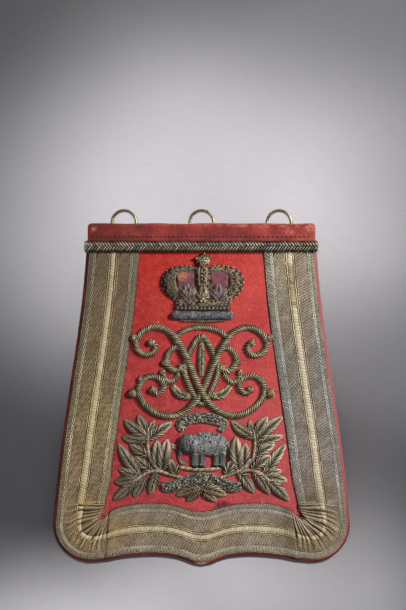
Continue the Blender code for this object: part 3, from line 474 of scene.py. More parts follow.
# threads of each slot: tarnish, metallic, roughness, stops of the tint, then patch size, patch share, faded
threadRows = {
    "red_leather": {
        "waxed_stitch": ((90, 30, 28), 0, 0.6, ((0, (96, 34, 32)), (1, (150, 60, 52)))),
        # near-black: painted shade inside the sunk stitch holes
        "stitch_hole": ((24, 8, 10), 0, 0.8, ((0, (30, 8, 10)), (1, (60, 16, 18)))),
    },
    "metal_lace": {
        "lace_thread": ((132, 112, 80), 0.35, 0.5, ((0, (122, 107, 87)), (0.4, (206, 191, 167)),
                        (0.75, (251, 238, 215)), (1, (255, 254, 246))), 60, 0.5, 1),
        "grey_lace_thread": ((150, 142, 124), 0.3, 0.5, ((0, (104, 97, 84)), (0.5, (188, 179, 161)),
                             (1, (242, 237, 224))), 90, 0.6, 1),
        "ochre_lace_thread": ((120, 92, 52), 0.3, 0.5, ((0, (96, 80, 56)), (0.5, (186, 166, 126)),
                              (1, (250, 232, 190))), 90, 0.6, 0.7),
        "silver_lace_thread": ((150, 142, 122), 0.35, 0.45, ((0, (106, 100, 86)), (0.5, (190, 181, 160)),
                               (1, (250, 245, 226))), 90, 0.6, 0.9),
        "cream_silk": ((194, 174, 136), 0.1, 0.6, ((0, (108, 88, 58)), (0.5, (220, 204, 168)),
                       (1, (252, 243, 218))), 70, 0.4, 0.5),
        "hem_thread_and_shade": ((30, 22, 20), 0, 0.7, ((0, (34, 14, 14)), (1, (92, 40, 34)))),
    },
    "gold_bullion": {
        # painted shade: the padding is near-black so that it reads as the shade between the wires laid over
        # it
        "pad_in_shade": ((30, 26, 20), 0.1, 0.75, ((0, (22, 17, 13)), (1, (96, 78, 58)))),
        "gold_thread": ((92, 84, 68), 0.45, 0.42, ((0, (66, 58, 44)), (0.35, (132, 119, 92)),
                        (0.7, (190, 175, 138)), (1, (244, 231, 192))), 90, 0.4),
        "leaf_thread": ((104, 96, 80), 0.4, 0.45, ((0, (62, 52, 40)), (0.4, (135, 119, 96)),
                        (0.75, (180, 164, 137)), (1, (230, 215, 186))), 90, 0.4),
        "tie_thread": ((104, 86, 66), 0.4, 0.45, ((0, (54, 42, 32)), (0.5, (138, 118, 88)),
                       (1, (206, 184, 144))), 90, 0.5),
        "crown_gold_thread": ((104, 84, 72), 0.45, 0.42, ((0, (62, 50, 40)), (0.35, (136, 117, 92)),
                              (0.7, (198, 176, 140)), (1, (252, 234, 196))), 130, 0.5),
        "mauve_thread": ((92, 96, 110), 0.4, 0.45, ((0, (44, 34, 34)), (0.5, (132, 106, 100)),
                         (1, (204, 180, 164))), 110, 0.5),
    },
    "silver_bullion": {
        # painted shade: the grey padding is dark so that it reads as the shade between the chips and wires
        # over it
        "grey_pad_in_shade": ((46, 46, 44), 0.1, 0.75, ((0, (32, 31, 29)), (1, (90, 87, 80)))),
        "grey_thread": ((84, 92, 98), 0.4, 0.44, ((0, (58, 60, 62)), (0.4, (124, 124, 122)),
                        (0.75, (178, 176, 170)), (1, (232, 230, 222))), 90, 0.35),
        "dark_thread": ((60, 66, 70), 0.45, 0.42, ((0, (46, 43, 38)), (0.5, (130, 122, 106)),
                        (1, (214, 204, 180))), 90, 0.4),
        "blue_grey_thread": ((76, 80, 88), 0.35, 0.45, ((0, (58, 60, 64)), (0.5, (116, 116, 118)),
                             (1, (186, 184, 180))), 120, 0.4),
        "tusk_thread": ((176, 174, 170), 0.2, 0.5, ((0, (158, 152, 144)), (1, (214, 208, 198)))),
    },
    "braid_wire": {
        # painted shade: the core is near-black, the shade between the braid's strands
        "braid_core_in_shade": ((30, 28, 24), 0.1, 0.75, ((0, (20, 18, 16)), (1, (60, 54, 44)))),
        "braid_wire": ((48, 46, 40), 0.45, 0.4, ((0, (14, 14, 13)), (0.5, (100, 87, 70)),
                       (1, (255, 240, 210))), 300, 0.3),
    },
}
for name, (slot, *row) in leathers.items():
    looks[name] = leatherLook(name, *row), slot
for slot, rows in threadRows.items():
    for name, row in rows.items():
        looks[name] = threadLook(name, *row), slot
bead, hole = beadShape(), holeShape()
print("materials made")


# camera, floor and light

studio = {
    "eye": (0.0015, 0.0821, 1.4580),
    "lens": 85,
    # place, power and size of each lamp; all aim at the origin
    "lamps": {
        "key": ((0.96, 0.50, 0.80), 26.0, 0.18),
        "fill": ((-0.6, -0.3, 1.4), 3.0, 0.9),
    },
    # aim, power, cone in degrees and soft share of each pool of light, on the paper alone
    "pools": {
        "glow": (0.0, 0.20, 33.5, 12, 1.0),
        "glow_wide": (-0.02, 0.17, 52.0, 17, 1.0),
        "glow_left": (-0.15, 0.16, 21.5, 12, 1.0),
        "glow_mid": (0.19, 0.06, 22.0, 11, 1.0),
        "glow_right": (0.17, 0.20, 49.0, 10, 1.0),
        "near": (0.0, -0.205, 84.0, 8, 1.0),
        "near_left": (-0.12, -0.278, 98.0, 6, 0.4),
        "far_left": (-0.21, -0.26, 60.0, 4.8, 0.35),
        "near_right": (0.13, -0.20, 46.0, 8, 1.0),
        "far_right": (0.17, -0.26, 28.0, 8, 1.0),
        "top": (0.0, 0.36, 13.0, 12, 1.0),
        "top_right": (0.19, 0.36, 23.5, 12, 1.0),
        "top_left": (-0.19, 0.36, 5.0, 12, 1.0),
        "wide": (0.02, 0.10, 4.2, 34, 1.0),
    },
    "lean": (0.10, 0.55),  # how far the lamps of the lower pools stand from their aim
    "poolHeight": 1.6,
    "poolSize": 0.06,
    "sky": (0.94, 0.95, 1.0, 1),
    "skyStrength": 0.09,
}


def addLamp(name, kind, power, place, target, receivers):
    data = bpy.data.lights.new(name, kind)
    data.energy = power
    lamp = bpy.data.objects.new(name, data)
    bpy.context.scene.collection.objects.link(lamp)
    lamp.location = place
    lamp.rotation_euler = (Vector(target) - Vector(place)).to_track_quat("-Z", "Y").to_euler()
    lamp.light_linking.receiver_collection = receivers
    return data


lens = bpy.data.cameras.new("camera")
lens.lens, lens.sensor_width, lens.clip_start, lens.clip_end = studio["lens"], 36, 0.05, 20
camera = bpy.data.objects.new("camera", lens)
bpy.context.scene.collection.objects.link(camera)
camera.location = studio["eye"]
bpy.context.scene.camera = camera

work = bmesh.new()
bmesh.ops.create_grid(work, x_segments=12, y_segments=12, size=2.5)
floor = bpy.data.objects.new("floor", fromBmesh(work, "floor"))
floor.data.materials.append(floorLook())
bpy.context.scene.collection.objects.link(floor)

paper = bpy.data.collections.new("paper")
paper.objects.link(floor)
notPaper = bpy.data.collections.new("not_paper")
notPaper.objects.link(floor)
notPaper.collection_objects[0].light_linking.link_state = "EXCLUDE"
for name, (place, power, size) in studio["lamps"].items():
    data = addLamp(name, "AREA", power, place, (0, 0, 0), notPaper)
    data.size = size
for name, (x, y, power, cone, blend) in studio["pools"].items():
    leanX, leanY = studio["lean"] if y < 0 else (0, 0)
    place = (x + leanX, y + leanY, studio["poolHeight"])
    data = addLamp(name, "SPOT", power, place, (x, y, 0), paper)
    data.spot_size, data.spot_blend, data.shadow_soft_size = math.radians(cone), blend, studio["poolSize"]
world = bpy.data.worlds.new("studio")
bpy.context.scene.world = world
world.use_nodes = True
sky = world.node_tree.nodes["Background"].inputs
sky[0].default_value, sky[1].default_value = studio["sky"], studio["skyStrength"]
bpy.context.scene.view_settings.view_transform = "Standard"
print("studio set")


# outline of the flap, right-hand half, x and height in mm

flap = {
    "foot": ((0, 0), (9, 1.6), (17, 4.8), (30, 8.4), (52, 9.8), (78, 7.8), (96, 4.4), (111, 3)),
    "side": ((149, 41), (146, 72), (140.4, 120), (133.6, 168), (126.4, 216), (120, 264), (115.6, 312),
             (114, 343)),
    "cornerCentre": (111, 41),
    "cornerRadius": 38,
    "lowest": 3,  # height of the foot beside the corner
    "top": 343,
}
turn = np.linspace(-math.pi / 2, 0, 40)[:-1]
corner = flap["cornerCentre"] + flap["cornerRadius"] * np.stack([np.cos(turn), np.sin(turn)], axis=1)
edge = np.vstack([smooth(flap["foot"], 10)[:-1], corner, smooth(flap["side"], 10)])
along = unit(np.gradient(edge, axis=0))
edgeIn = np.stack([-along[:, 1], along[:, 0]], axis=1)  # the way into the flap from each point
edgeIn[0] = (0, 1)
onSide = edge[:, 1] > flap["cornerCentre"][1]


# cloth, board edge and top leather

cloth = {"inset": 4.6, "top": 333.4, "reach": 146, "columns": 104, "rows": 118, "pucker": 0.16, "thick": 0.7}


def makeCloth():
    # scarlet cloth stretched over the board, a little puckered round the embroidery
    work = bmesh.new()
    bmesh.ops.create_grid(work, x_segments=cloth["columns"], y_segments=cloth["rows"], size=1)
    inner = edge + edgeIn * cloth["inset"]
    inner[0, 0] = 0
    side, foot = inner[inner[:, 1] > 30], inner[inner[:, 1] < 42]
    foot = foot[np.argsort(foot[:, 0])]
    bottom = flap["lowest"]
    for v in work.verts:
        x, height = v.co.x * cloth["reach"], bottom + (v.co.y + 1) / 2 * (cloth["top"] - bottom)
        wide = foot[:, 0].max()
        if height > flap["cornerCentre"][1]:
            wide = np.interp(height, side[:, 1], side[:, 0])
        x = max(-wide, min(wide, x))
        height = max(height, float(np.interp(abs(x), foot[:, 0], foot[:, 1])))
        pucker = noise.fractal(Vector((x * 0.035, height * 0.03, 1.7)), 0.9, 2.1, 3) * cloth["pucker"]
        v.co = (x * mm, tipY + height * mm, clothTop + pucker * mm)
    bmesh.ops.remove_doubles(work, verts=work.verts, dist=0.00005)
    bmesh.ops.dissolve_degenerate(work, edges=work.edges, dist=0.00002)
    bmesh.ops.recalc_face_normals(work, faces=work.faces)
    if sum(f.normal.z for f in work.faces) < 0:
        bmesh.ops.reverse_faces(work, faces=work.faces)
    wool = fromBmesh(work, "cloth_face_wool")
    piece = settle("cloth_face_wool", wool, "scarlet_cloth", "cloth_face")
    thick = piece.modifiers.new("thickness", "SOLIDIFY")
    thick.thickness, thick.offset = cloth["thick"] * mm, -1


piping = {
    "inset": 2.1, "level": 0.0144, "radius": 2.12, "slack": 0.10, "top": 312.9, "step": 1.6,
    "groove": 1.2, "grooveDepth": 0.34,  # pressed line: its angle on the round edge, its depth in mm
    "wornAndLitRidge": 2.1,  # angle of the pale ridge, partly wear and partly painted highlight
    "stitch": 3.4, "stitchAngle": 1.95,
}


def makePiping():
    # rolled leather edge of the flap with a pressed line and small stitches beside the lace
    line = edge + edgeIn * piping["inset"]
    line[0, 0] = 0
    last = [np.interp(piping["top"], edge[:, 1][onSide], line[:, 0][onSide]), piping["top"]]
    line = np.vstack([line[line[:, 1] <= piping["top"]], last])
    whole = np.vstack([line[:0:-1] * (-1, 1), line])
    length = lengthsAlong(whole)
    at = np.append(np.arange(0, length[-1], piping["step"]), length[-1])
    path = np.stack([np.interp(at, length, whole[:, 0]), np.interp(at, length, whole[:, 1])], axis=1)
    along = unit(np.gradient(path, axis=0))
    outward = np.stack([along[:, 1], -along[:, 0]], axis=1)
    turn = np.linspace(0, 2 * math.pi, 25)
    groove = piping["grooveDepth"] * np.exp(-((turn - piping["groove"]) / 0.20) ** 2)
    tint = 0.5 - 0.5 * np.exp(-((turn - piping["groove"]) / 0.24) ** 2)
    tint = np.clip(tint + 0.5 * np.exp(-((turn - piping["wornAndLitRidge"]) / 0.36) ** 2), 0, 1)
    rings = []
    for far, point, out in zip(at, path, outward):
        wobble = noise.fractal(Vector((far * 0.05, 0.3, 0.0)), 1.0, 2.0, 3) * 0.08
        radius = piping["radius"] - piping["slack"] + 0.07 * np.sin(far * 1.9) * np.cos(far * 0.37) + wobble
        radius = np.minimum(radius - groove, piping["radius"])
        spread = point + out * (radius * np.cos(turn))[:, None]
        rings.append(toWorld(spread, piping["level"] + radius * np.sin(turn) * mm))
    shape = Gather()
    shape.sheet(np.array(rings), np.tile(tint, len(rings)))
    closeEnds(shape.piece("edge_piping_leather", "edge_leather", "edge_piping"))

    stitches = Gather()
    starts = np.arange(4, length[-1] - 4, piping["stitch"])
    run = starts[:, None] + np.linspace(0, piping["stitch"] * 0.62, 4)
    inset, lift = math.cos(piping["stitchAngle"]) * 1.85, math.sin(piping["stitchAngle"]) * 1.80
    points = [np.interp(run, at, path[:, k]) + np.interp(run, at, outward[:, k]) * inset for k in (0, 1)]
    level = piping["level"] + (lift + 0.10 * np.sin(np.linspace(0, math.pi, 4))) * mm
    tint = rng.uniform(0.1, 0.6, len(starts))
    stitches.tubes(toWorld(np.stack(points, axis=-1), level), np.array([0.16, 0.24, 0.24, 0.16]), tint=tint)
    stitches.piece("edge_stitches", "gold_thread")


leather = {
    "foot": 319, "backFoot": 296, "halfWidth": 113.8, "corner": 4, "bevel": 1.5,
    "thick": 1.8, "front": 0.0185, "back": 0.0023,
    "stitchHeight": 328.6, "holes": 49, "spacing": 4.5,
    "holeSize": (1.05, 0.85, 0.15),
}


def leatherWave(x, height, z):
    return noise.fractal(Vector((x * 0.028, height * 0.06, z * 40)), 1.0, 2.0, 3)


def makeTopLeather():
    # morocco folded over the top edge, a little uneven along the fold
    middle, outer = (leather["front"] + leather["back"]) / 2, (leather["front"] - leather["back"]) / 2
    centre = flap["top"] - outer / mm
    inner = outer - leather["thick"] * mm
    bend = np.linspace(math.pi / 2, -math.pi / 2, 25)
    front = np.linspace(leather["foot"], centre, 8)[:-1]
    back = np.linspace(centre, leather["backFoot"], 12)[1:]

    def layer(reach):
        # height and level of one face of the leather, from the front over the fold and down the back
        over = [(centre + reach / mm * math.cos(a), middle + reach * math.sin(a)) for a in bend]
        return [(h, middle + reach) for h in front] + over + [(h, middle - reach) for h in back]

    outside = layer(outer)
    section = outside + layer(inner)[::-1]
    half, corner = leather["halfWidth"], leather["corner"]
    main = np.linspace(-half + leather["bevel"], half - leather["bevel"], 118)
    across = np.concatenate([[-half, -half + 0.5], main, [half - 0.5, half]])
    grid = np.zeros((len(across), len(section), 3))
    for i, x in enumerate(across):
        edgeRound = max(0.0, (abs(x) - half + leather["bevel"]) / leather["bevel"])
        sag = 0.22 * math.sin(x * 0.11 + 0.6) - 0.45
        for j, (height, z) in enumerate(section):
            drop = max(0.0, height - (flap["top"] - corner)) / corner
            limit = half - corner * (1 - math.sqrt(max(0.0, 1 - drop**2)))
            wave = leatherWave(x, height, z)
            z = z + (wave * 0.16 + 0.02) * mm * (1 if j < len(outside) else 0.4)
            z = z + (middle - z) * 0.03 * edgeRound
            lower = (0.35 * wave + sag) * min(1, max(0, height - centre) / 6)
            grid[i, j] = (x * min(1.0, limit / half) * mm, tipY + (height + lower) * mm, z)
    shape = Gather()
    shape.sheet(np.concatenate([grid, grid[:, :1]], axis=1))
    piece = shape.piece("top_leather_fold", "top_leather", "top_leather")
    closeEnds(piece, triangles=True)
    piece.data.set_sharp_from_angle(angle=math.radians(50))

    # running stitch above the braid: sunk holes with a dark thread between pairs of them
    count, spacing, height = leather["holes"], leather["spacing"], leather["stitchHeight"]
    stitches, rings = Gather(), Gather()
    centres = np.arange(count) * spacing - 109 + rng.uniform(-0.25, 0.25, count)
    shares = np.linspace(-1, 1, 7)
    x = centres[:, None] + spacing / 2 + shares * 1.5
    heights = height + rng.uniform(-0.15, 0.15, (count, 1)) + shares * 0.25
    level = 0.01852 + (0.30 * np.cos(shares * math.pi / 2) - 0.10) * mm
    tint = rng.uniform(0, 0.5, count)
    path = toWorld(np.stack([x, heights], axis=-1), level)
    stitches.tubes(path, 0.26 * (1 - 0.5 * shares**4), sides=5, tint=tint)
    waves = np.array([leatherWave(x, height, leather["front"]) for x in centres])
    places = np.stack([centres, height + rng.uniform(-0.2, 0.2, count)], axis=-1)
    level = leather["front"] + (waves * 0.16 + 0.17) * mm
    # the holes are near-black: painted shade inside them
    rings.copies(hole, toWorld(places, level), [leather["holeSize"]], 0.0)
    rings.piece("stitch_holes", "stitch_hole")
    stitches.piece("top_stitches", "waxed_stitch")


makeCloth()
makePiping()
makeTopLeather()
print("cloth, edge and top leather made")


# lace border

lace = {
    "outerInset": 3.2,
    "width": 47.8,
    "top": 318.3,
    "fanCentre": (102.5, 51.5),
    "notch": ((90.6, 54.0), (94.4, 50.4), (98.8, 47.0), (102.8, 46.2), (102.8, 49.0), (99.6, 52.4),
              (97.2, 56.6), (96.2, 62.6)),
    "footInner": ((0, 53.6), (10, 54.7), (21.5, 58.1), (32, 60.6), (41.5, 61.7), (52, 61.9), (61.5, 61.6),
                  (70, 60.7), (78, 59.0), (85, 57.0), (91, 54.4)),
    "sideInner": 53.0,
    "fanFrom": -100,
    "fanTo": 12,
    "pleats": 13,
    "pleatRise": 2.25,
    "overlap": 0.9,
    "thick": 1.15,
    "columns": (0, 0.3, 0.9, 2.5, 4.5, 8.5, 12.5, 16.5, 20.5, 21.2, 22.6, 24.1, 25.6, 27.0, 28.2, 31.5, 34.8,
                38.1, 41.4, 43.2, 45.2, 46.8, 47.5, 47.8),  # places across the woven ground
    "stripe": 23.35,
    "stripeHalf": (2.0, 2.2, 2.8, 2.5, 2.15, 2.5, 2.7, 2.45, 2.3),
    "inward": 25.5,  # threads further in than this end where the pleats start
    "strokes": ((6.6, 18.5), (28.6, 39.8)),
    "pairs": (0.10, 0.08),  # how much every second stroke is brighter
    "lean": ((-26, -3, 2, 6.5, 6.5, 2, -2, -6), (-19, 0, 0, 6.5, 6.5, 0, 0, -12)),  # by place along the lace
    # place across a pleat and tint of its threads; their two stretches: from, to, spare ends, share missing
    "pleatPlaces": ((0.18, 0.2), (0.32, 0.5), (0.46, 0.74), (0.60, 0.66), (0.74, 0.3)),
    "pleatRuns": ((25.6, 47.4, 0.5, 0.8, 0), (9.0, 21.2, 3.5, 0.2, 0.3)),
    # v, radius and tint of each cord along the lace
    "lines": ((0.5, 0.34, 0.3), (47.3, 0.42, 0.1)),
    "ochre": ((18.3, 0.44, 0.62), (20.1, 0.52, 0.94), (26.7, 0.52, 0.96), (28.5, 0.44, 0.62)),
    "silver": ((5.4, 0.4, 0.84), (41.0, 0.4, 0.9)),
    "edges": ((0.9, 4.5, -2.2, 0.74), (42.2, 47.0, 3.4, 0.76)),  # from, to, slant and tint of both selvages
    "looseAtNotch": 26,
    "looseAlong": 70,
    "looseBits": ((60.6, 61.5, -0.3, 3.8), (-43.8, 242.8, 0.8, 1.4)),  # x, height and run of two longer ones
}
notch = smooth(lace["notch"], 8)


def reachOf(line, centre, way):
    # how far a ray from the centre runs before it meets the line
    for a, b in zip(line, line[1:]):
        side, gap = b - a, a - centre
        cross = way[0] * side[1] - way[1] * side[0]
        if abs(cross) < 1e-12:
            continue
        far = (gap[0] * side[1] - gap[1] * side[0]) / cross
        share = (gap[0] * way[1] - gap[1] * way[0]) / cross
        if far > 0 and 0 <= share <= 1:
            return far


def laceRails():
    # outer point, inner point, pleat phase and extra rise, from the middle of the foot up the right side
    outerEdge = edge + edgeIn * lace["outerInset"]
    footInner = smooth([(-x, h) for x, h in lace["footInner"][:0:-1]] + list(lace["footInner"]), 8)
    footOuter = outerEdge[edge[:, 0] < 112]
    rows = []
    for x in np.arange(0, 97.5, 2.0):
        slide = min(1, max(0, (x - 50) / 46))
        innerX = x - 5.0 * slide * slide
        inner = np.interp(innerX, footInner[:, 0], footInner[:, 1])
        outer = np.interp(x, footOuter[:, 0], footOuter[:, 1])
        rows.append((x, outer, innerX, inner, 0, lace["overlap"] * min(1, max(0, (x - 84) / 8))))
    rows.append((*(np.array(rows[-1][:4]) + (0.25, 0, 0.25, 0)), 0, 0))
    centre, notchAt, count = np.array(lace["fanCentre"]), lengthsAlong(notch), lace["pleats"] * 10
    for i in range(count + 1):
        angle = math.radians(lace["fanFrom"] + (lace["fanTo"] - lace["fanFrom"]) * i / count)
        way = np.array((math.cos(angle), math.sin(angle)))
        inner = [np.interp(notchAt[-1] * i / count, notchAt, notch[:, k]) for k in (0, 1)]
        rows.append((*(centre + way * reachOf(outerEdge, centre, way)), *inner, i / 10, 0))
    sideEdge, sideIn = edge[onSide], edgeIn[onSide]
    for height in np.arange(68, 313, 3.0):
        inset = lace["sideInner"] - 2.6 * max(0, (92 - height) / 24)
        lines = [sideEdge + sideIn * far for far in (lace["outerInset"], inset)]
        both = [np.interp(height, sideEdge[:, 1], line[:, k]) for line in lines for k in (0, 1)]
        rows.append((*both, lace["pleats"], 0))
    rows = np.array(rows)
    slope = (rows[-1, :2] - rows[-3, :2]) / (rows[-1, 1] - rows[-3, 1])
    outer = rows[-1, :2] + slope * (lace["top"] - rows[-1, 1])
    inner = rows[-1, 2:4] + slope * (lace["top"] - rows[-1, 3])
    return np.vstack([rows, (*outer, *inner, lace["pleats"], 0)])


rails = laceRails()
rails = np.vstack([rails[:0:-1] * (-1, 1, -1, 1, 1, 1), rails])  # from the top left, round the foot
railAt = lengthsAlong(rails[:, :2])
laceLength = railAt[-1]
inFan = rounded(((rails[:, 4] > 0) & (rails[:, 4] < lace["pleats"])).astype(float), 2)


def fanAt(u):
    # how far a place is into a fan: 1 inside, 0 outside, easing at both ends
    return np.interp(u, railAt, inFan)


def withinLace(u):
    return np.clip(u, 0.2, laceLength - 0.2)


def warped(phase):
    return phase + 0.16 * np.sin(phase * 2.4 + 0.8) + 0.10 * np.sin(phase * 4.1)


def pleatOf(phase):
    # pleats of uneven width: round ridges with a tight fold between them
    return np.abs(np.sin(np.pi * warped(phase))) ** 0.62


def pleatBow(v):
    # the pleats swing sideways between the notch and the outer edge, in pleat widths
    q = np.asarray(v) / lace["width"]
    return 0.12 * np.sin(q * 9) - 0.42 * np.sin(np.pi * np.clip(q, 0, 1))


def phaseAt(u, v):
    return np.interp(u, railAt, rails[:, 4]) + pleatBow(v)


def pleatFolds(onHalf):
    # where the folds between pleats meet the lace's outer edge, on one half, from the foot's side up
    half = (inFan > 0.5) & onHalf
    fine = np.linspace(0, lace["pleats"], 600)
    folds = np.interp(np.arange(0, lace["pleats"] + 1), warped(fine), fine)
    order = np.argsort(rails[half, 4])
    return np.interp(folds, rails[half, 4][order], railAt[half][order])


folds = pleatFolds(rails[:, 0] < 0), pleatFolds(rails[:, 0] > 0)
leftFolds, rightFolds = np.sort(folds[0]), folds[1]


def laceAt(u, v, proud=0.0):
    # a point of the lace's face, u along its outer edge and v across it, both in mm
    q = np.asarray(v) / lace["width"]
    outer = np.stack([np.interp(u, railAt, rails[:, k]) for k in (0, 1)], axis=-1)
    inner = np.stack([np.interp(u, railAt, rails[:, k]) for k in (2, 3)], axis=-1)
    flatPlace = outer + (inner - outer) * q[..., None]
    places = (0, 0.12, 0.25, 0.38, 0.44, 0.54, 0.6, 0.9, 1)
    share = np.interp(q, places, (0.02, 0.10, 0.36, 0.55, 0.5, 0.5, 1.0, 1.0, 0.6))
    rise = lace["thick"] + fanAt(u) * share * (pleatOf(phaseAt(u, v)) * lace["pleatRise"] - 0.85)
    rise = rise + np.interp(u, railAt, rails[:, 5])
    soft = 0.10 * np.sin(u * 0.09 + q * 2.0) + 0.07 * np.sin(u * 0.23 - q * 5.0)
    rise = rise - 0.5 * np.clip((np.abs(q - 0.5) - 0.47) / 0.03, 0, 1) + soft
    return toWorld(flatPlace, clothTop + (rise + proud) * mm)


def around(face, back):
    # once round the lace's section: over its face, back under it and up again
    return np.concatenate([face, back[:, ::-1], face[:, :1]], axis=1)


def makeLace():
    u, v = np.meshgrid(railAt, lace["columns"], indexing="ij")
    top = laceAt(u, v)
    bottom = top.copy()
    bottom[..., 2] = clothTop + 0.05 * mm
    # deep is painted shade: low in the folds between pleats, where the ground's material darkens it
    deep = 1 - fanAt(u) * (1 - pleatOf(phaseAt(u, v))) * np.interp(v, (0, 12, 22), (0.2, 0.6, 1))
    shape = Gather()
    shape.sheet(around(top, bottom), around(deep, deep))
    piece = shape.piece("lace_ground", "lace_ground", "lace_border")
    lay = piece.data.uv_layers.new(name="lay")
    corner = np.zeros(len(piece.data.loops), int)
    piece.data.loops.foreach_get("vertex_index", corner)
    places = np.stack([around(u, u).ravel()[corner], around(v, v).ravel()[corner]], axis=1)
    lay.data.foreach_set("uv", places.astype(np.float32).ravel())
    closeEnds(piece)
    return piece


def laceStrokes():
    # slanting threads of both wide strips
    strokes = Gather()
    a, b, c, d = leftFolds[0], leftFolds[-1], rightFolds[0], rightFolds[-1]
    leanAt = (a - 12, a + 12, b - 10, b + 4, c - 4, c + 10, d - 12, d + 12)
    share = np.linspace(0, 1, 15)
    for strip, (low, high) in enumerate(lace["strokes"]):
        starts, u = [], 1.0
        while u < laceLength - 0.5:
            starts.append(u)
            u += 1.2 * math.hypot(1, np.interp(u, leanAt, lace["lean"][strip]) / (high - low))
        u0 = np.array(starts)
        fan = fanAt(u0)
        bright = lace["pairs"][strip] * (1 - 2 * (np.arange(len(u0)) % 2)) * (1 - 0.5 * fan)
        u0 = u0 + rng.uniform(-0.08, 0.08, len(u0))
        if strip:
            u0, bright, fan = u0[fan < 0.4], bright[fan < 0.4], fan[fan < 0.4]
        slant = np.interp(u0, leanAt, lace["lean"][strip]) * (1 + 0.1 * np.sin(u0 * 0.035 + 2 * strip))
        wave = 0.14 * np.sin(share * 12 + 0.25 * u0[:, None] + strip) * (1 - 0.6 * fan[:, None])
        u = withinLace(u0[:, None] + slant[:, None] * (share - 0.5) + wave)
        if strip:  # these stop at the first and last pleat
            foot, first = (u0 > b) & (u0 < c), u0 < a
            least = np.where(foot, b + 0.2, np.where(first, 0.2, d + 0.2))
            most = np.where(foot, c - 0.2, np.where(first, a - 0.2, laceLength - 0.2))
            u = np.clip(u, least[:, None], most[:, None])
        patch = 0.12 * np.sin(u0 * 0.31 + strip) * np.sin(u0 * 0.083 + 1)
        weave = np.sin(share * 26 + 3.1 * np.arange(len(u0))[:, None])  # threads dip under the weft in turn
        radius = (0.42 + 0.7 * bright)[:, None] * (1 - 0.3 * np.abs(2 * share - 1) ** 6) * (1 + 0.06 * weave)
        tint = (0.53 + patch + bright - 0.1 * fan + rng.normal(0, 0.03, len(u0)))[:, None]
        tint = tint + 0.05 * weave + rng.normal(0, 0.13, u.shape)
        path = laceAt(u, low + (high - low) * share, -0.16 + 0.06 * weave)
        strokes.tubes(path, radius, tint=np.clip(tint, 0, 1))
    return strokes.piece("lace_strokes", "lace_thread")


def pleatThreads():
    # threads along the pleats, from the notch to the outer edge
    drawn = Gather()
    for side in folds:
        for pleat, (start, end) in enumerate(zip(side, side[1:])):
            for place, shade in lace["pleatPlaces"]:
                for low, high, spareLow, spareHigh, missing in lace["pleatRuns"]:
                    if missing and rng.random() < missing:
                        continue
                    v = np.arange(low + rng.uniform(0, spareLow), high - rng.uniform(0, spareHigh), 0.7)
                    u = start + (end - start) * (place - pleatBow(v)) + 0.2 * np.sin(v * 0.7 + pleat)
                    radius = 0.50 - 0.16 * np.clip((v - 28) / 20, 0, 1)
                    twist = np.sin(2 * np.pi * (v / 2.7 + place * 1.6) + pleat)
                    tint = np.clip(shade - 0.1 + 0.2 * twist + rng.normal(0, 0.1, len(v)), 0, 1)
                    drawn.tubes(laceAt(u, v, -0.05 + 0.1 * twist), radius, tint=tint)
    return drawn.piece("lace_pleat_threads", "lace_thread")


def laceSelvage():
    # pale and dark threads by turns along both edges
    rim, share = Gather(), np.linspace(0, 1, 6)
    for low, high, slant, bright in lace["edges"]:
        u0 = np.arange(0.8, laceLength - 1.5, 1.5)
        if low > lace["inward"]:
            u0 = u0[fanAt(u0) < 0.4]
        dark = 0.4 * (np.arange(len(u0)) % 2)[:, None]
        tint = bright - dark + rng.normal(0, 0.1, (len(u0), 1)) + rng.normal(0, 0.14, (len(u0), 6))
        path = laceAt(withinLace(u0[:, None] + slant * (share - 0.5)), low + (high - low) * share, -0.1)
        rim.tubes(path, 0.42 * (1 - 0.3 * np.abs(2 * share - 1) ** 4), sides=3, tint=np.clip(tint, 0, 1))
    return rim.piece("lace_selvage", "grey_lace_thread")


def lineRuns(v):
    # the stretches of a line along the lace
    u = np.arange(0.4, laceLength - 0.3, 0.8)
    if v > lace["inward"]:
        u = u[fanAt(u) < 0.5]
    return np.split(u, np.where(np.diff(u) > 2)[0] + 1)


def laceLines():
    # knotty cords at the edges of the lace and beside its stripe
    cords = {"lines": Gather(), "ochre": Gather()}
    for line, (v, thick, bright) in enumerate(lace["lines"] + lace["ochre"]):
        into = cords["lines" if line < len(lace["lines"]) else "ochre"]
        for run in lineRuns(v):
            knots = 0.8 + 0.3 * np.abs(np.sin(run * 1.1 + line))
            radius = thick * knots + rng.uniform(-0.05, 0.05, len(run))
            shade = bright + 0.14 * np.sin(run * 0.11 + line) + rng.normal(0, 0.18, len(run))
            into.tubes(laceAt(run, v + 0.15 * np.sin(run * 0.8 + line)), radius, tint=np.clip(shade, 0, 1))
    plain = cords["lines"].piece("lace_lines", "lace_thread")
    return [plain, cords["ochre"].piece("lace_ochre_lines", "ochre_lace_thread")]


def silverLines():
    # loose twists of three plies, browned at the upper left
    twists = Gather()
    for line, (v, thick, bright) in enumerate(lace["silver"]):
        for run in lineRuns(v):
            for ply in range(3):
                turn = run * 0.52 + ply * 2.1 + 0.6 * np.sin(run * 0.043 + line)
                fresh = np.interp(run, (0, 40, 90, laceLength), (-0.42, -0.2, 0, 0))
                shade = bright + fresh + 0.2 * np.sin(run * 0.07 + line) + rng.normal(0, 0.22, len(run))
                path = laceAt(run, v + 1.1 * np.sin(turn), 0.05 + 0.2 * np.cos(turn))
                radius = thick * (0.85 + 0.25 * np.abs(np.sin(run * 1.3 + ply)))
                twists.tubes(path, radius, tint=np.clip(shade, 0, 1))
    return twists.piece("lace_silver_lines", "silver_lace_thread")


def wornStripe(u):
    # share of the cream stripe left: it is gone for a stretch near the top of the right side
    back = laceLength - u
    gone = np.clip((back - 13) / 4, 0, 1) * np.clip((60 - back) / 5, 0, 1)
    return 1 - gone * (0.86 + 0.14 * np.sin(u * 2.1))


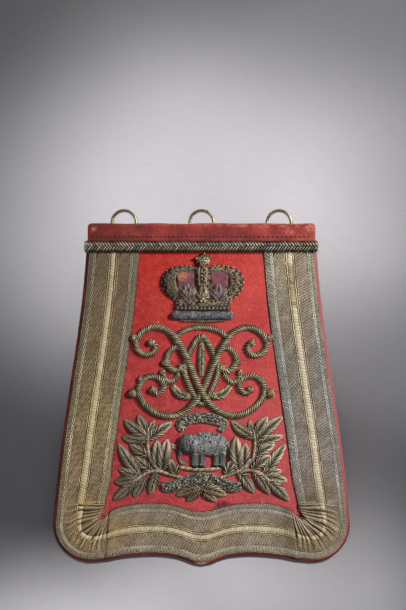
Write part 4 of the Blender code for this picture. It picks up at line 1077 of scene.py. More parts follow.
def laceStripe():
    # cream middle stripe: slanting ribs along the straights, one puffed cushion on each pleat of the fans
    left, right = leftFolds, rightFolds
    spans = []
    for a, b in ((0.6, left[0]), (left[-1], right[0]), (right[-1], laceLength - 0.4)):
        cuts = np.linspace(a, b, round((b - a) / 2.9) + 1)
        cuts[1:-1] += rng.uniform(-0.3, 0.3, len(cuts) - 2)
        spans += [(c, d, 0) for c, d in zip(cuts, cuts[1:])]
    for side in (left, right):
        spans += [(c + (d - c) * 0.02, d - (d - c) * 0.02, 1) for c, d in zip(side, side[1:])]
    shape, share = Gather(), np.linspace(-1, 1, 7)
    foot = laceLength / 2
    halfAt = (0, 60, left[0], left[-1], foot, right[0], right[-1], laceLength - 60, laceLength)
    a, b = np.meshgrid(share, share, indexing="ij")
    for start, end, fan in spans:
        middle, long = (start + end) / 2, end - start
        worn = float(wornStripe(middle))
        puff = (0.30 + 0.75 * fan) * worn * rng.uniform(0.85, 1.1)
        half = np.interp(middle, halfAt, lace["stripeHalf"])
        v = lace["stripe"] + b * half * (1 - 0.10 * fan * a**4) + rng.uniform(-0.15, 0.15)
        u = middle + a * (long / 2 + 0.08) + b * 0.9 * (1 - fan) - fan * long * pleatBow(v)
        dome = np.clip(1 - np.abs(a) ** (3.2 - fan), 0, 1) ** 0.55 * np.clip(1 - np.abs(b) ** 4, 0, 1) ** 0.5
        # paler on the puffed cushions of the fans; painted shade darkens each cushion towards its edges
        tint = 0.66 + 0.3 * fan + rng.normal(0, 0.08) - (0.5 - 0.2 * fan) * (1 - dome) ** 1.5
        tint = np.clip(tint - 0.5 * (1 - worn), 0, 1)
        shape.sheet(laceAt(withinLace(u), v, 0.05 + dome * (0.15 + puff)), tint)
    return shape.piece("lace_stripe", "cream_silk")


def laceHem():
    # dark thread that holds the lace's inner edge down to the cloth; its darkness also stands in for the
    # painted shadow line where the lace meets the cloth
    u0 = np.arange(2.0, laceLength - 2, 2.3)
    u0 = u0[fanAt(u0) < 0.4]
    u0 = u0 + rng.uniform(-0.25, 0.25, len(u0))
    t = np.linspace(-0.5, 0.5, 5)
    u = u0[:, None] + rng.uniform(1.3, 1.9, len(u0))[:, None] * t
    v = lace["width"] + 0.42 + 0.5 * t + rng.normal(0, 0.08, len(u0))[:, None]
    hem = Gather()
    hem.tubes(laceAt(u, v, -0.2 - 1.2 * t**2), 0.34, tint=np.clip(rng.normal(0.3, 0.25, len(u0)), 0, 1))
    return hem.piece("lace_hem_stitches", "hem_thread_and_shade")


def raggedEnds():
    # broken threads that stand out round each notch and along the lace's inner edge
    ends, t = Gather(), np.linspace(0, 1, 5)
    for side in (-1, 1):
        for _ in range(lace["looseAtNotch"]):
            angle = math.radians(rng.uniform(20, 200))
            start = notch[rng.integers(0, 48)] + rng.normal(0, 0.5, 2)
            way = angle + rng.normal(0, 0.5) + rng.normal(0, 0.5) * t
            length = rng.uniform(1.0, 3.4)
            x, height = start[0] + length * t * np.cos(way), start[1] + length * t * np.sin(way)
            z = clothTop + (1.2 + 0.5 * np.sin(t * 3) - 0.4 * t) * mm
            path = toWorld(np.stack([x * side, height], axis=-1), z)
            ends.tubes(path, 0.17 * (1 - 0.5 * t), half=False, tint=rng.uniform(0.4, 1))
    for _ in range(lace["looseAlong"]):
        u = rng.uniform(5, laceLength - 5)
        if fanAt(u) > 0.2:
            continue
        s = np.linspace(0, 1, 4)
        path = laceAt(u + s * rng.uniform(-2.5, 2.5), 47.4 + s * rng.uniform(0.4, 1.6), 0.1 - 0.6 * s)
        ends.tubes(path, 0.14, half=False, tint=rng.uniform(0.3, 0.9))
    for x, height, dx, dh in lace["looseBits"]:
        bit = np.stack([x + dx * t + 0.2 * np.sin(t * 4), height + dh * t], axis=-1)
        ends.tubes(toWorld(bit, clothTop + 0.35 * mm), 0.42 * (1 - 0.5 * t), sides=5, half=False, tint=1.0)
    return ends.piece("lace_loose_ends", "lace_thread")


ground = makeLace()
onLace = [laceStrokes(), pleatThreads(), laceSelvage(), *laceLines(), silverLines()]
onLace += [laceStripe(), laceHem(), raggedEnds()]
print("lace made,", round(laceLength), "mm")


# padded strokes

def roundPad(a):
    return np.sqrt(np.clip(1 - a**2, 0, 1))


def leafPad(a):
    return np.sqrt(np.clip(1 - np.abs(a) ** 2.2, 0, 1)) * (1 - 0.42 * np.exp(-((a / 0.13) ** 2)))


def flatPad(a):
    return np.clip(1 - np.abs(a) ** 3.5, 0, 1) ** 0.5


class Stroke:
    # a padded line of embroidery from table rows x, height, half width

    def __init__(self, rows, rise, side=1, closed=False, profile=roundPad, steps=10, shift=0.0):
        self.closed, self.rise, self.profile, self.base = closed, rise, profile, seat
        fine = smooth(rows, steps, closed) if len(rows) > 2 else np.linspace(rows[0], rows[1], 12)
        if closed:
            fine = np.vstack([fine, fine[:1]])
        self.points = np.stack([fine[:, 0] * side + shift, fine[:, 1]], axis=1)
        self.wide = np.maximum(fine[:, 2], 0.15)
        self.at = lengthsAlong(self.points)
        self.length = self.at[-1]
        along = unit(np.gradient(self.points, axis=0))
        if closed:
            along[0] = along[-1] = unit(along[0] + along[-1])
        self.normal = np.stack([-along[:, 1], along[:, 0]], axis=1)
        self.lift = np.zeros(len(self.at))

    def value(self, values, s):
        s = s % self.length if self.closed else np.clip(s, 0, self.length)
        return np.interp(s, self.at, values)

    def surface(self, s, a, proud):
        # point and normal of the pad's face; a runs -1 to 1 across it
        wide = self.value(self.wide, s)
        out = np.stack([self.value(self.normal[:, k], s) for k in (0, 1)], axis=-1)
        point = np.stack([self.value(self.points[:, k], s) for k in (0, 1)], axis=-1)
        point = point + out * ((wide + proud * np.abs(a)) * a)[..., None]
        up = self.rise * wide * self.profile(a) + proud * roundPad(a)
        lean = np.broadcast_to(a * 0.9, wide.shape)[..., None]
        normal = np.concatenate([out * lean, np.sqrt(1 - lean**2)], axis=-1)
        return toWorld(point, self.base + (self.value(self.lift, s) + up) * mm), normal

    def pad(self, shape, tint=0.4, across=9, step=1.2, under=0.25):
        # the padding itself, a little inside its threads
        s = np.linspace(0, self.length, max(4, int(self.length / step)))
        a = np.sin(np.linspace(-math.pi / 2, math.pi / 2, across))
        grid, _ = self.surface(*np.meshgrid(s, a, indexing="ij"), -under)
        grid = np.concatenate([grid[:, -1:], grid[:, ::-1], grid[:, :1]], axis=1)
        grid[:, [0, -1], 2] = self.base - 0.2 * mm
        if not self.closed:
            for end in (0, -1):
                limit = self.base + self.rise * self.wide[end] * 0.4 * mm
                grid[end, :, 2] = np.minimum(grid[end, :, 2], limit)
        shape.sheet(grid, tint)

    def wires(self, shape, pitch, slant, radius, sides=4, k=9, reach=0.97, tints=(0.3, 0.9), sink=0.35,
              endShade=0.0):
        # wires laid side by side across the pad, each slanting along it; the last argument is painted shade
        # that darkens them at both ends, where they dip to the pad's edges
        s0 = np.arange(pitch / 2, self.length, pitch)
        s0 = s0 + rng.uniform(-0.08, 0.08, len(s0)) * pitch
        t = np.linspace(-1, 1, k)
        a = np.sin(t * math.pi / 2 * reach)
        s = s0[:, None] + slant * self.value(self.wide, s0)[:, None] * a
        points, normals = self.surface(s, a, radius * (1 - sink))
        size = radius * (1 - 0.35 * np.abs(t) ** 6) * rng.uniform(0.92, 1.06, (len(s0), 1))
        tint = rng.uniform(*tints, len(s0))[:, None] - endShade * (1 - np.cos(t * math.pi / 2))
        shape.tubes(points, size, normals, sides=sides, tint=tint)

    def veinWires(self, shape, pitch, slant, radius, tints, k=7, inner=0.07):
        # leaf threads: from the middle groove outwards and forwards on both sides, with painted shade
        # darkening their ends at the groove and at the leaf's edge
        s0 = np.arange(0.3, self.length, pitch)
        wide = self.value(self.wide, s0)[:, None]
        t = np.linspace(-1, 1, k)
        size = radius * (1 - 0.3 * np.abs(t) ** 4) * np.clip(0.4 + wide / 2.5, 0.4, 1)
        for way in (-1, 1):
            a = way * np.sin(np.linspace(inner, 0.97, k) * math.pi / 2)
            s = s0[:, None] + rng.uniform(-0.1, 0.1, (len(s0), 1)) + slant * wide * np.abs(a)
            points, normals = self.surface(np.minimum(s, self.length - 0.05), a, radius * 0.6)
            shade = rng.uniform(*tints, len(s0)) + 0.15 * (2 * (np.arange(len(s0)) % 2) - 1)
            shade = np.clip(shade[:, None] - 0.22 * t**2, 0, 1)
            shape.tubes(points[:, ::-way], size, normals[:, ::-way], tint=shade[:, ::-way])

    def cord(self, shape, a, radius, start=0.0, tint=0.5, proud=0.0, twist=2.0):
        # a thin cord that runs along the pad
        s = np.arange(start, self.length, 0.8)
        points, normals = self.surface(s, np.full(len(s), a), proud)
        ridge = radius * (0.86 + 0.14 * np.abs(np.sin(s * math.pi / twist)))
        shade = np.clip(tint + 0.12 * np.sin(s * 2 * math.pi / twist), 0, 1)
        shape.tubes(points, ridge, normals, sides=5, half=False, tint=shade)

    def beads(self, shape, a, pitch, radius, start, tints, share=1.0, proud=0.2, inTurn=False):
        # inTurn: dark and bright beads follow each other
        s = np.arange(start, self.length * share, pitch)
        points, _ = self.surface(s, np.full(len(s), a), proud)
        shades = rng.uniform(*tints, len(s))
        if inTurn:
            shades = np.where(np.arange(len(s)) % 2, *tints) + rng.uniform(-0.05, 0.05, len(s))
        shape.copies(bead, points, radius * rng.uniform(0.85, 1.12, len(s)), np.clip(shades, 0, 1))

    def chips(self, shape, count, length, radius, tints, span=0.92):
        # short bits of coiled wire sewn down at all angles
        s, a = rng.uniform(0, self.length, count), rng.uniform(-span, span, count)
        addChips(shape, *self.surface(s, a, radius * 0.3), length, radius, tints)


def addChips(shape, points, normals, length, radius, tints):
    count = len(points)
    way = unit(np.cross(normals, unit(rng.normal(0, 1, (count, 3)))))
    side = np.cross(normals, way)
    points, normals, way, side = (row[:, None] for row in (points, normals, way, side))
    t = np.linspace(-0.5, 0.5, 5)
    size = length * mm * rng.uniform(0.7, 1.25, (count, 1, 1))
    curl = rng.uniform(-0.5, 0.5, (count, 1, 1))
    arch = (0.25 - t**2)[None, :, None]
    paths = points + size * (way * t[None, :, None] + side * curl * arch)
    paths = paths + normals * (radius * mm * 0.3 + size * 0.45 * arch)
    thick = radius * (1 - 0.5 * np.abs(2 * t) ** 3) * rng.uniform(0.85, 1.1, (count, 1))
    shape.tubes(paths, thick, normals, tint=rng.uniform(*tints, count))


def laidOver(strokes):
    # each stroke in the list passes over the ones before it
    for j, upper in enumerate(strokes):
        lift = np.zeros(len(upper.at))
        for lower in strokes[:j]:
            gap = np.linalg.norm(upper.points[:, None] - lower.points[None], axis=2)
            near = gap.argmin(axis=1)
            reach = lower.wide[near] + 0.55 * upper.wide
            share = np.clip(1 - gap.min(axis=1) / reach, 0, 1)
            below = lower.lift[near] + 0.8 * lower.rise * lower.wide[near]
            lift = np.maximum(lift, below * np.minimum(1, share * 1.9))
        upper.lift = rounded(lift, 10)


def ballStroke(x, height, radius, rise, shift=0.0, tilt=0.0):
    # a ball end, treated as a short stroke whose width follows a circle
    rows = []
    for t in np.linspace(-0.97, 0.97, 9):
        across, up = radius * t * math.cos(tilt), radius * t * math.sin(tilt)
        rows.append((x + across, height + up, radius * math.sqrt(1 - t * t)))
    return Stroke(rows, rise, steps=3, shift=shift)


# knot of scrolls

knot = {
    "strand": (
        (-50, 176, 2.6), (-44, 172, 2.6), (-38, 177.5, 2.7), (-40, 185.5, 2.7), (-49, 189.5, 2.7),
        (-58.5, 186, 2.8), (-63.5, 175.5, 2.9), (-58.5, 163, 3.0), (-46, 153, 3.1), (-31, 149.5, 3.1),
        (-16, 155, 3.1), (-5, 166, 3.1), (3, 180, 3.2), (11, 199, 3.2), (20, 218, 3.1), (31, 232.5, 2.9),
        (46, 238.3, 2.8), (59.5, 233, 2.8), (65.5, 221.5, 2.8), (60.5, 212, 2.8), (50.5, 211, 2.7),
        (45.5, 218.5, 2.6), (51.5, 223.5, 2.4),
    ),
    "arch": ((29, 226.5, 2.2), (16, 235.4, 2.5), (0, 238.6, 2.7), (-16, 235.4, 2.5), (-29, 226.5, 2.2)),
    "lozenge": ((0, 229, 2.6), (11, 214, 2.6), (17, 197, 2.6), (12, 179, 2.6), (0, 161, 2.6),
                (-12, 179, 2.6), (-17, 197, 2.6), (-11, 214, 2.6)),
    "tendril": ((19, 217, 2.2), (27.5, 217.5, 2.5), (34, 210, 2.7), (33.6, 200, 3.0), (27, 194.5, 3.2),
                (20, 196.5, 3.4)),
    "leaf": ((7, 171, 2.2), (15, 169.6, 4.0), (22.5, 172.5, 4.4), (29, 179.5, 2.2)),
    "heart": ((0, 228.4, 1.6), (0, 214, 3.2), (0, 202, 3.8), (0, 190, 2.0)),
    "sprig": ((22, 192, 1.8), (28, 184.5, 2.4), (35.5, 184.5, 2.4), (38.6, 191.5, 1.8)),
    "knobs": (
        (68.9, 172.4, 4.4), (67.6, 227.5, 3.7), (36.3, 202.6, 3.2), (48.6, 175.6, 3.4), (50.4, 222.6, 3.2),
        (20, 197.4, 4.2), (38.8, 193.4, 2.6), (24.8, 223.5, 2.8), (60.5, 186.6, 2.6), (13, 169, 2.8),
    ),
    # part, its rise and the sides it is on, from the lowest layer up
    "layers": (("leaf", 0.8, (1, -1)), ("heart", 0.8, (1,)), ("sprig", 0.9, (1, -1)),
               ("tendril", 1.0, (1, -1)), ("arch", 1.05, (1,)), ("lozenge", 1.05, (1,)),
               ("strand", 1.05, (1, -1))),
    "slim": 0.94,
    "pitch": 2.35,
    "wire": 0.52,
    "slant": 0.8,
    "knobRise": 0.95,
}


def makeKnot():
    cords, pads, strokes = Gather(), Gather(), []
    for part, rise, sides in knot["layers"]:
        profile = leafPad if part in ("leaf", "heart") else roundPad
        for side in sides:
            strokes.append(Stroke(knot[part], rise, side, part == "lozenge", profile))
    laidOver(strokes)
    for number, stroke in enumerate(strokes):
        stroke.wide = stroke.wide * knot["slim"]
        stroke.pad(pads, 0.0, under=0.35)
        if stroke.profile is leafPad:
            stroke.veinWires(cords, 1.8, 1.6, 0.46, tints=(0.35, 0.95))
            stroke.cord(cords, 0.0, 0.4, twist=1.5)
        else:
            slant = knot["slant"] * (-1) ** number  # neighbours slant against each other
            stroke.wires(cords, knot["pitch"], slant, knot["wire"], sides=5, k=11, endShade=0.3, sink=0.0,
                         tints=(0.6, 0.9), reach=0.92)
        # a dark cord along both edges of each stroke: painted shade outlining it
        for a in (-1.0, 1.0):
            stroke.cord(cords, a, 0.44, tint=0.16, twist=1.7)
    for x, height, radius in knot["knobs"]:
        for side in (1, -1):
            ball = ballStroke(x * side, height, radius, knot["knobRise"], tilt=0.6)
            ball.base = seat + 0.3 * mm
            ball.pad(pads, 0.35)
            ball.chips(cords, int(5.5 * radius), 2.4, 0.5, (0.2, 0.85))
            ball.wires(cords, 1.6, 0.5, 0.55, tints=(0.2, 0.75), endShade=0.3)
    pads.piece("knot_padding", "pad_in_shade", "scroll_knot", 0.9)
    cords.piece("knot_wires", "gold_thread", fill=0.9)


makeKnot()
print("knot made")

# laurel

laurel = {
    "stems": {
        "left": (
            ((-19, 87.4, 1.1), (-41.7, 94.6, 1.4), (-50.5, 105.7, 1.3), (-53.8, 118.5, 1.2), (-53, 132, 0.9)),
            ((-40, 94, 1.1), (-48, 94.4, 1.1), (-57, 91.2, 1.1), (-66, 85, 0.9)),
        ),
        "right": (
            ((19, 87.4, 1.1), (37.4, 94.4, 1.4), (47.6, 102, 1.3), (52.3, 110, 1.2), (53.6, 124, 1.1),
             (52.3, 131, 0.8)),
            ((38, 94.2, 1.1), (50.2, 94.8, 1.1), (60, 91.6, 1.1), (67, 85, 0.9)),
        ),
    },
    # foot and tip of each leaf, and its half width
    "leaves": {
        "left": (
            (-52.9, 129, -63.1, 150.5, 3.7), (-53.4, 127, -77.4, 145.8, 3.8),
            (-53.5, 124.5, -79.3, 128.6, 3.4), (-53, 126, -29.5, 142.6, 3.5), (-53, 131, -46.8, 144.5, 1.9),
            (-52.5, 109, -71.6, 121, 3.5), (-61, 89, -83, 121.6, 3.7), (-48.7, 94, -67, 109.5, 3.5),
            (-44.5, 97, -44, 125, 4.2), (-39.5, 94.5, -34.2, 126, 4.9), (-25, 89.5, -31.5, 106.5, 3.6),
            (-61, 90.6, -82.5, 96.7, 3.0), (-63, 87.6, -87, 83.5, 3.8), (-64.6, 85.4, -88, 65.5, 3.7),
            (-57, 90, -67.8, 68.7, 3.6), (-46, 94, -51.9, 71.2, 3.5),
        ),
        "right": (
            (53, 126, 66, 148.5, 3.8), (53.6, 123.5, 80.8, 148.5, 3.7), (53.4, 121, 81.5, 129.2, 3.4),
            (53, 127, 29.8, 144.5, 3.5), (52.5, 130, 48.4, 145.2, 1.9), (52.1, 109, 73.1, 121, 3.4),
            (62, 90, 84, 121, 3.7), (50, 95, 69.3, 109.5, 3.5), (43.5, 97, 44.2, 122, 4.2),
            (37.4, 94.6, 34.2, 128.6, 4.8), (25, 89.4, 31.5, 105, 3.6), (60, 91.4, 80, 94.2, 3.0),
            (62, 89.4, 85.9, 84.6, 3.7), (64.2, 87, 87.8, 64.8, 3.7), (52, 94, 68, 71.5, 3.6),
            (36.5, 93.6, 52.7, 72.5, 3.5),
        ),
        "tie": ((-1, 76.4, 14.4, 64, 3.4), (-1.6, 78.4, 25, 70, 3.7)),
    },
    "shape": ((0, 0.34), (0.1, 0.6), (0.25, 0.9), (0.45, 1.02), (0.65, 0.92), (0.82, 0.64), (0.93, 0.34),
              (1, 0.06)),
    "rise": 0.62,
    "full": 1.48,
    "edgeCords": ((0.99, 0.36), (0.0, 0.26), (-0.99, 0.36)),  # place across the leaf, radius; dark cords at both edges and down the middle, painted shade outlining each leaf and its groove
    "tieBow": 1.2,
}


def leafStroke(row, side=1, bow=0.0, shift=0.0):
    base, tip = np.array(row[:2]), np.array(row[2:4])
    way = unit(tip - base)
    bend = np.array((-way[1], way[0])) * bow
    rows = []
    for share, width in laurel["shape"]:
        point = base + (tip - base) * share + bend * math.sin(math.pi * share)
        rows.append((*point, width * row[4] * laurel["full"]))
    return Stroke(rows, laurel["rise"], side, profile=leafPad, steps=4, shift=shift)


def sewLeaf(stroke, pads, stitches, slant, radius, tints, edgeTint):
    stroke.pad(pads, 0.05, across=11, step=1.5, under=0.35)
    stroke.veinWires(stitches, 2.2, slant, radius, k=8, tints=tints, inner=0.04)
    # dark cords at both edges and down the middle: painted shade outlining the leaf and its groove
    for a, thin in laurel["edgeCords"]:
        stroke.cord(stitches, a, thin, tint=edgeTint, twist=1.2, proud=0.1)


def makeLaurel(half):
    stitches, pads = Gather(), Gather()
    leaves = [leafStroke(row, bow=rng.uniform(0.4, 1.2)) for row in laurel["leaves"][half]]
    stems = [Stroke(rows, 1.0) for rows in laurel["stems"][half]]
    laidOver(leaves + stems)
    for stroke in leaves + stems:
        stroke.lift = stroke.lift * 0.6
    for leaf in leaves:
        sewLeaf(leaf, pads, stitches, 1.9, 0.46, (0.44, 0.92), 0.08)
    for stem in stems:
        stem.pad(pads, 0.05, across=11, step=1.5, under=0.35)
        stem.wires(stitches, 1.3, 0.6, 0.6, k=7, tints=(0.45, 1.0))
    pads.piece(f"laurel_{half}_padding", "pad_in_shade", f"laurel_{half}", 0.9)
    stitches.piece(f"laurel_{half}_threads", "leaf_thread", fill=0.9)


def makeTieLeaves():
    stitches, pads = Gather(), Gather()
    leaves = [leafStroke(row, side, laurel["tieBow"]) for row in laurel["leaves"]["tie"] for side in (1, -1)]
    laidOver(leaves)
    for leaf in leaves:
        sewLeaf(leaf, pads, stitches, 1.8, 0.48, (0.5, 1.0), 0.2)
    pads.piece("tie_leaves_padding", "pad_in_shade", "tie_leaves", 0.9)
    stitches.piece("tie_leaves_threads", "tie_thread", fill=0.9)


makeLaurel("left")
makeLaurel("right")
makeTieLeaves()
print("laurel made")

# elephant, ribbons and ground

elephant = {
    "domes": ((5, 121.5, 21.5, 11.8, 6.2), (-14, 122, 9.2, 9.4, 6.6), (-7.5, 120.5, 5.6, 8.2, 7.6)),
    # four legs, trunk and tail
    "limbs": (
        ((-5.8, 116, 4.2), (-6.2, 106, 3.4), (-6.4, 99.6, 3.4)),
        ((1.2, 116, 4.0), (0.9, 106, 3.0), (0.6, 99.6, 3.2)),
        ((20.6, 117, 4.8), (21, 106, 3.2), (20.6, 99.6, 3.4)),
        ((14, 116, 4.2), (14.6, 106, 2.8), (14.4, 100, 3.0)),
        ((-20, 118, 3.6), (-21.9, 111, 2.0), (-21.2, 104.5, 1.5), (-17.8, 102, 1.3), (-13.8, 103.6, 1.0)),
        ((25, 125, 1.3), (27.6, 119, 1.1), (27, 111, 1.0)),
    ),
    "cordsFrom": (5.5, 5.5, 6.5, 5.5, 2.0, 0.5),  # where the cords along each limb start
    "legCords": (-0.8, -0.42, 0.0, 0.42, 0.8),
    "thinCords": (-0.5, 0.5),
    "tusk": ((-25.3, 119.3, 0.75), (-27.6, 119.9, 0.6), (-30.4, 121.2, 0.3)),
    "tuskPlaces": ((0, 0.1), (0.5, -2.5)),
    "ear": ((-12.2, 128.6, 0.8), (-7.6, 129.2, 0.8), (-3.2, 125.4, 0.8), (-3.0, 119.2, 0.8),
            (-6.4, 113.6, 0.8), (-10.4, 113.2, 0.8)),
    "eye": (-17.4, 123.6),
    "step": 0.6,
    "tries": 5200,  # places tried for chips; those on the body are used up to the two counts
    "backChips": 1150,
    "headChips": 330,
}
ribbons = {
    "rows": {
        "upper": ((-18, 134.5, 2.6), (-21.4, 141.6, 3.9), (-13, 145.9, 5.0), (0, 147.7, 5.1),
                  (13.4, 145.9, 5.0), (22.2, 141.6, 3.9), (18.6, 134.5, 2.6)),
        "lower": ((-40, 79.5, 4.2), (-31, 78.6, 5.4), (-20, 82, 5.5), (0, 87.2, 5.6), (20, 82, 5.5),
                  (31, 78.6, 5.4), (40, 79.5, 4.2)),
    },
    "chips": {"upper": (300, (0.28, 1.0)), "lower": (456, (0.16, 0.92))},  # count and tints
    "ground": ((-22.5, 98, 1.0), (-12, 96.4, 1.6), (0, 95.6, 1.7), (12, 96.1, 1.6), (22, 97.8, 1.0)),
}
limbs = [Stroke(rows, 1.0) for rows in elephant["limbs"]]


def elephantHeight(x, height):
    top = np.zeros_like(x)
    for cx, ch, rx, ry, rise in elephant["domes"]:
        share = ((x - cx) / rx) ** 2 + ((height - ch) / ry) ** 2
        top = np.maximum(top, rise * 1.1 * np.sqrt(np.clip(1 - share, 0, 1)))
    for limb in limbs:
        gap = np.hypot(x[..., None] - limb.points[:, 0], height[..., None] - limb.points[:, 1]) / limb.wide
        wide = np.take(limb.wide, gap.argmin(axis=-1))
        top = np.maximum(top, wide * roundPad(gap.min(axis=-1)))
    return top


def elephantBody():
    xs, hs = np.arange(-28, 30, elephant["step"]), np.arange(95, 136, elephant["step"])
    top = elephantHeight(*np.meshgrid(xs, hs, indexing="ij"))
    wide, tall = len(xs) - 1, len(hs) - 1
    work = bmesh.new()
    bmesh.ops.create_grid(work, x_segments=wide, y_segments=tall, size=1)
    for v in work.verts:
        i, j = round((v.co.x + 1) / 2 * wide), round((v.co.y + 1) / 2 * tall)
        v.co = (xs[i] * mm, tipY + hs[j] * mm, seat + top[i, j] * mm)
    flat = [f for f in work.faces if all(v.co.z < seat + 0.02 * mm for v in f.verts)]
    bmesh.ops.delete(work, geom=flat, context="FACES")
    axes = {"use_axis_x": True, "use_axis_y": True, "use_axis_z": True}
    bmesh.ops.smooth_vert(work, verts=work.verts, factor=0.4, **axes)
    for v in work.verts:
        if v.is_boundary:
            v.co.z = seat - 0.3 * mm
    settle("elephant_padding", fromBmesh(work, "elephant_padding"), "grey_pad_in_shade", "elephant")


def makeElephant():
    elephantBody()
    chips, count, near = Gather(), elephant["tries"], 0.25
    x, height = rng.uniform(-24, 28, count), rng.uniform(97, 134.5, count)
    z = elephantHeight(x, height)
    slopeX = (elephantHeight(x + near, height) - elephantHeight(x - near, height)) / (2 * near)
    slopeY = (elephantHeight(x, height + near) - elephantHeight(x, height - near)) / (2 * near)
    normals = unit(np.stack([-slopeX, -slopeY, np.ones_like(z)], axis=-1))
    points = toWorld(np.stack([x, height], axis=-1), seat + z * mm)
    body = (z > 1.2) & (height > 110.5) & (x > -22.5)
    parts = (x >= -11, elephant["backChips"], (0.25, 0.85)), (x < -11, elephant["headChips"], (0.1, 0.55))
    for part, number, tints in parts:
        some = np.where(body & part)[0][:number]
        addChips(chips, points[some], normals[some], 1.8, 0.5, tints)
    for number, limb in enumerate(limbs):
        for a in elephant["legCords"] if number < 4 else elephant["thinCords"]:
            tint = rng.uniform(0.35, 0.65)
            limb.cord(chips, a, 0.5, elephant["cordsFrom"][number], tint, proud=-0.1, twist=2.3)
    for leg in limbs[:4]:
        for a in (-0.5, 0.5):
            leg.beads(chips, a, 1.3, 0.55, start=leg.length - 1.2, tints=(0.5, 0.9))
    ear = Stroke(elephant["ear"], 1.0)
    ear.lift = elephantHeight(ear.points[:, 0], ear.points[:, 1]) - 0.5
    ear.cord(chips, 0.0, 0.62, tint=0.75, twist=1.5)
    eye = np.array([elephant["eye"]])
    chips.copies(bead, toWorld(eye, seat + (elephantHeight(eye[:, 0], eye[:, 1]) + 0.3) * mm), 0.85, 0.0)
    chips.piece("elephant_chips", "grey_thread", fill=0.9)

    tusks = Gather()
    for right, up in elephant["tuskPlaces"]:
        tusk = Stroke([(x + right, h + up, w) for x, h, w in elephant["tusk"]], 1.0)
        tusk.pad(tusks, 0.6, under=0.0, step=0.5)
        tusk.wires(tusks, 0.55, 0.3, 0.3, k=7, tints=(0.5, 1.0))
    tusks.piece("elephant_tusks", "tusk_thread", "elephant_tusk", 0.9)


def makeRibbons():
    for name, rows in ribbons["rows"].items():
        ribbon, pads, chips = Stroke(rows, 0.42, profile=flatPad), Gather(), Gather()
        count, tints = ribbons["chips"][name]
        ribbon.pad(pads, 0.6, across=11)
        ribbon.chips(chips, count, 2.2, 0.55, tints)
        for a in (-0.97, 0.97):
            ribbon.cord(chips, a, 0.72, tint=0.6, twist=2.1)
        pads.piece(f"{name}_ribbon_padding", "grey_pad_in_shade", f"{name}_ribbon", 0.8)
        chips.piece(f"{name}_ribbon_chips", "dark_thread", fill=0.8)
    line, pads, wires = Stroke(ribbons["ground"], 1.0), Gather(), Gather()
    line.pad(pads)
    line.wires(wires, 1.0, 1.1, 0.5, k=7)
    pads.piece("ground_padding", "pad_in_shade", "ground_line", 0.9)
    wires.piece("ground_threads", "gold_thread", fill=0.9)


makeElephant()
makeRibbons()
print("elephant and ribbons made")

# crown

crown = {
    "shift": 1.3,
    "sideArch": ((25.2, 268.6, 4.0), (29.7, 273.5, 5.8), (33.5, 280.5, 6.9), (33.1, 288, 6.4),
                 (28.8, 293.4, 4.6), (20, 296.5, 2.9), (8, 297.2, 2.4)),
    "middleArch": ((0, 280, 7.0), (0, 289, 7.6), (0, 297.8, 7.2)),
    "cap": ((8.0, 286, 8.6), (10.4, 286.2, 9.3), (16.5, 286, 9.6), (23.0, 285.4, 9.0), (25.4, 285, 8.0)),
    "ground": ((5.8, 273.5, 9.0), (16, 274, 10.2), (27.5, 274.5, 7.6)),
    "circlet": ((-26.6, 261.2, 5.4), (-14, 261.7, 6.4), (0, 261.9, 6.6), (14, 261.7, 6.4),
                 (27.6, 261.2, 5.4)),
    "points": ((15.4, 262.5, 15.8, 282.6, 3.9), (15.0, 266, 7.8, 276.6, 3.2), (15.8, 266, 23.6, 276.6, 3.2),
               (20.8, 263, 25.6, 270.4, 2.0)),
    "stalk": ((0.3, 262, 0.2, 282.5, 3.6), (0.3, 265.5, -5.6, 274.5, 2.9), (0.3, 265.5, 6.0, 274.5, 2.9)),
    "hearts": ((0.3, 266.5), (-1.6, 264.4), (2.2, 264.4)),
    "roll": ((-30.2, 250.4, 2.9), (-28.6, 250.4, 3.7), (-26, 250.3, 4.0), (0, 250.1, 4.0), (26, 250.3, 4.0),
             (28.6, 250.4, 3.7), (30.2, 250.4, 2.9)),
    "underline": ((-23, 244.6, 0.7), (0, 244, 1.0), (23, 244.6, 0.7)),
    "orb": (0.6, 304.5, 6.2),
    "cross": (((-7.2, 307, 1.8), (0.4, 306.6, 1.5), (8.4, 308.4, 1.9)),
              ((0.7, 307.6, 1.6), (0.7, 312.4, 2.1))),
    "chip": (1.5, 0.42),  # length and radius
    # tints of the chips and brightest bead of the second row: the left side is blacker
    "sides": (("left", -1, (0.06, 0.52), 0.4), ("right", 1, (0.22, 0.74), 0.62)),
    # place across the circlet, start and brightest bead of its rows
    "beadRows": ((-0.86, 1.0, 0.3), (-0.66, 1.9, 0.9), (-0.44, 1.2, 0.15)),
}


def crownStroke(rows, rise, side=1, profile=roundPad):
    return Stroke(rows, rise, side, profile=profile, shift=crown["shift"])


def crownPieces(name, pads, chips, beads):
    pads.piece(f"crown_{name}_padding", "pad_in_shade", f"crown_{name}", 0.9)
    chips.piece(f"crown_{name}_chips", "crown_gold_thread", fill=0.9)
    beads.piece(f"crown_{name}_beads", "dark_thread")


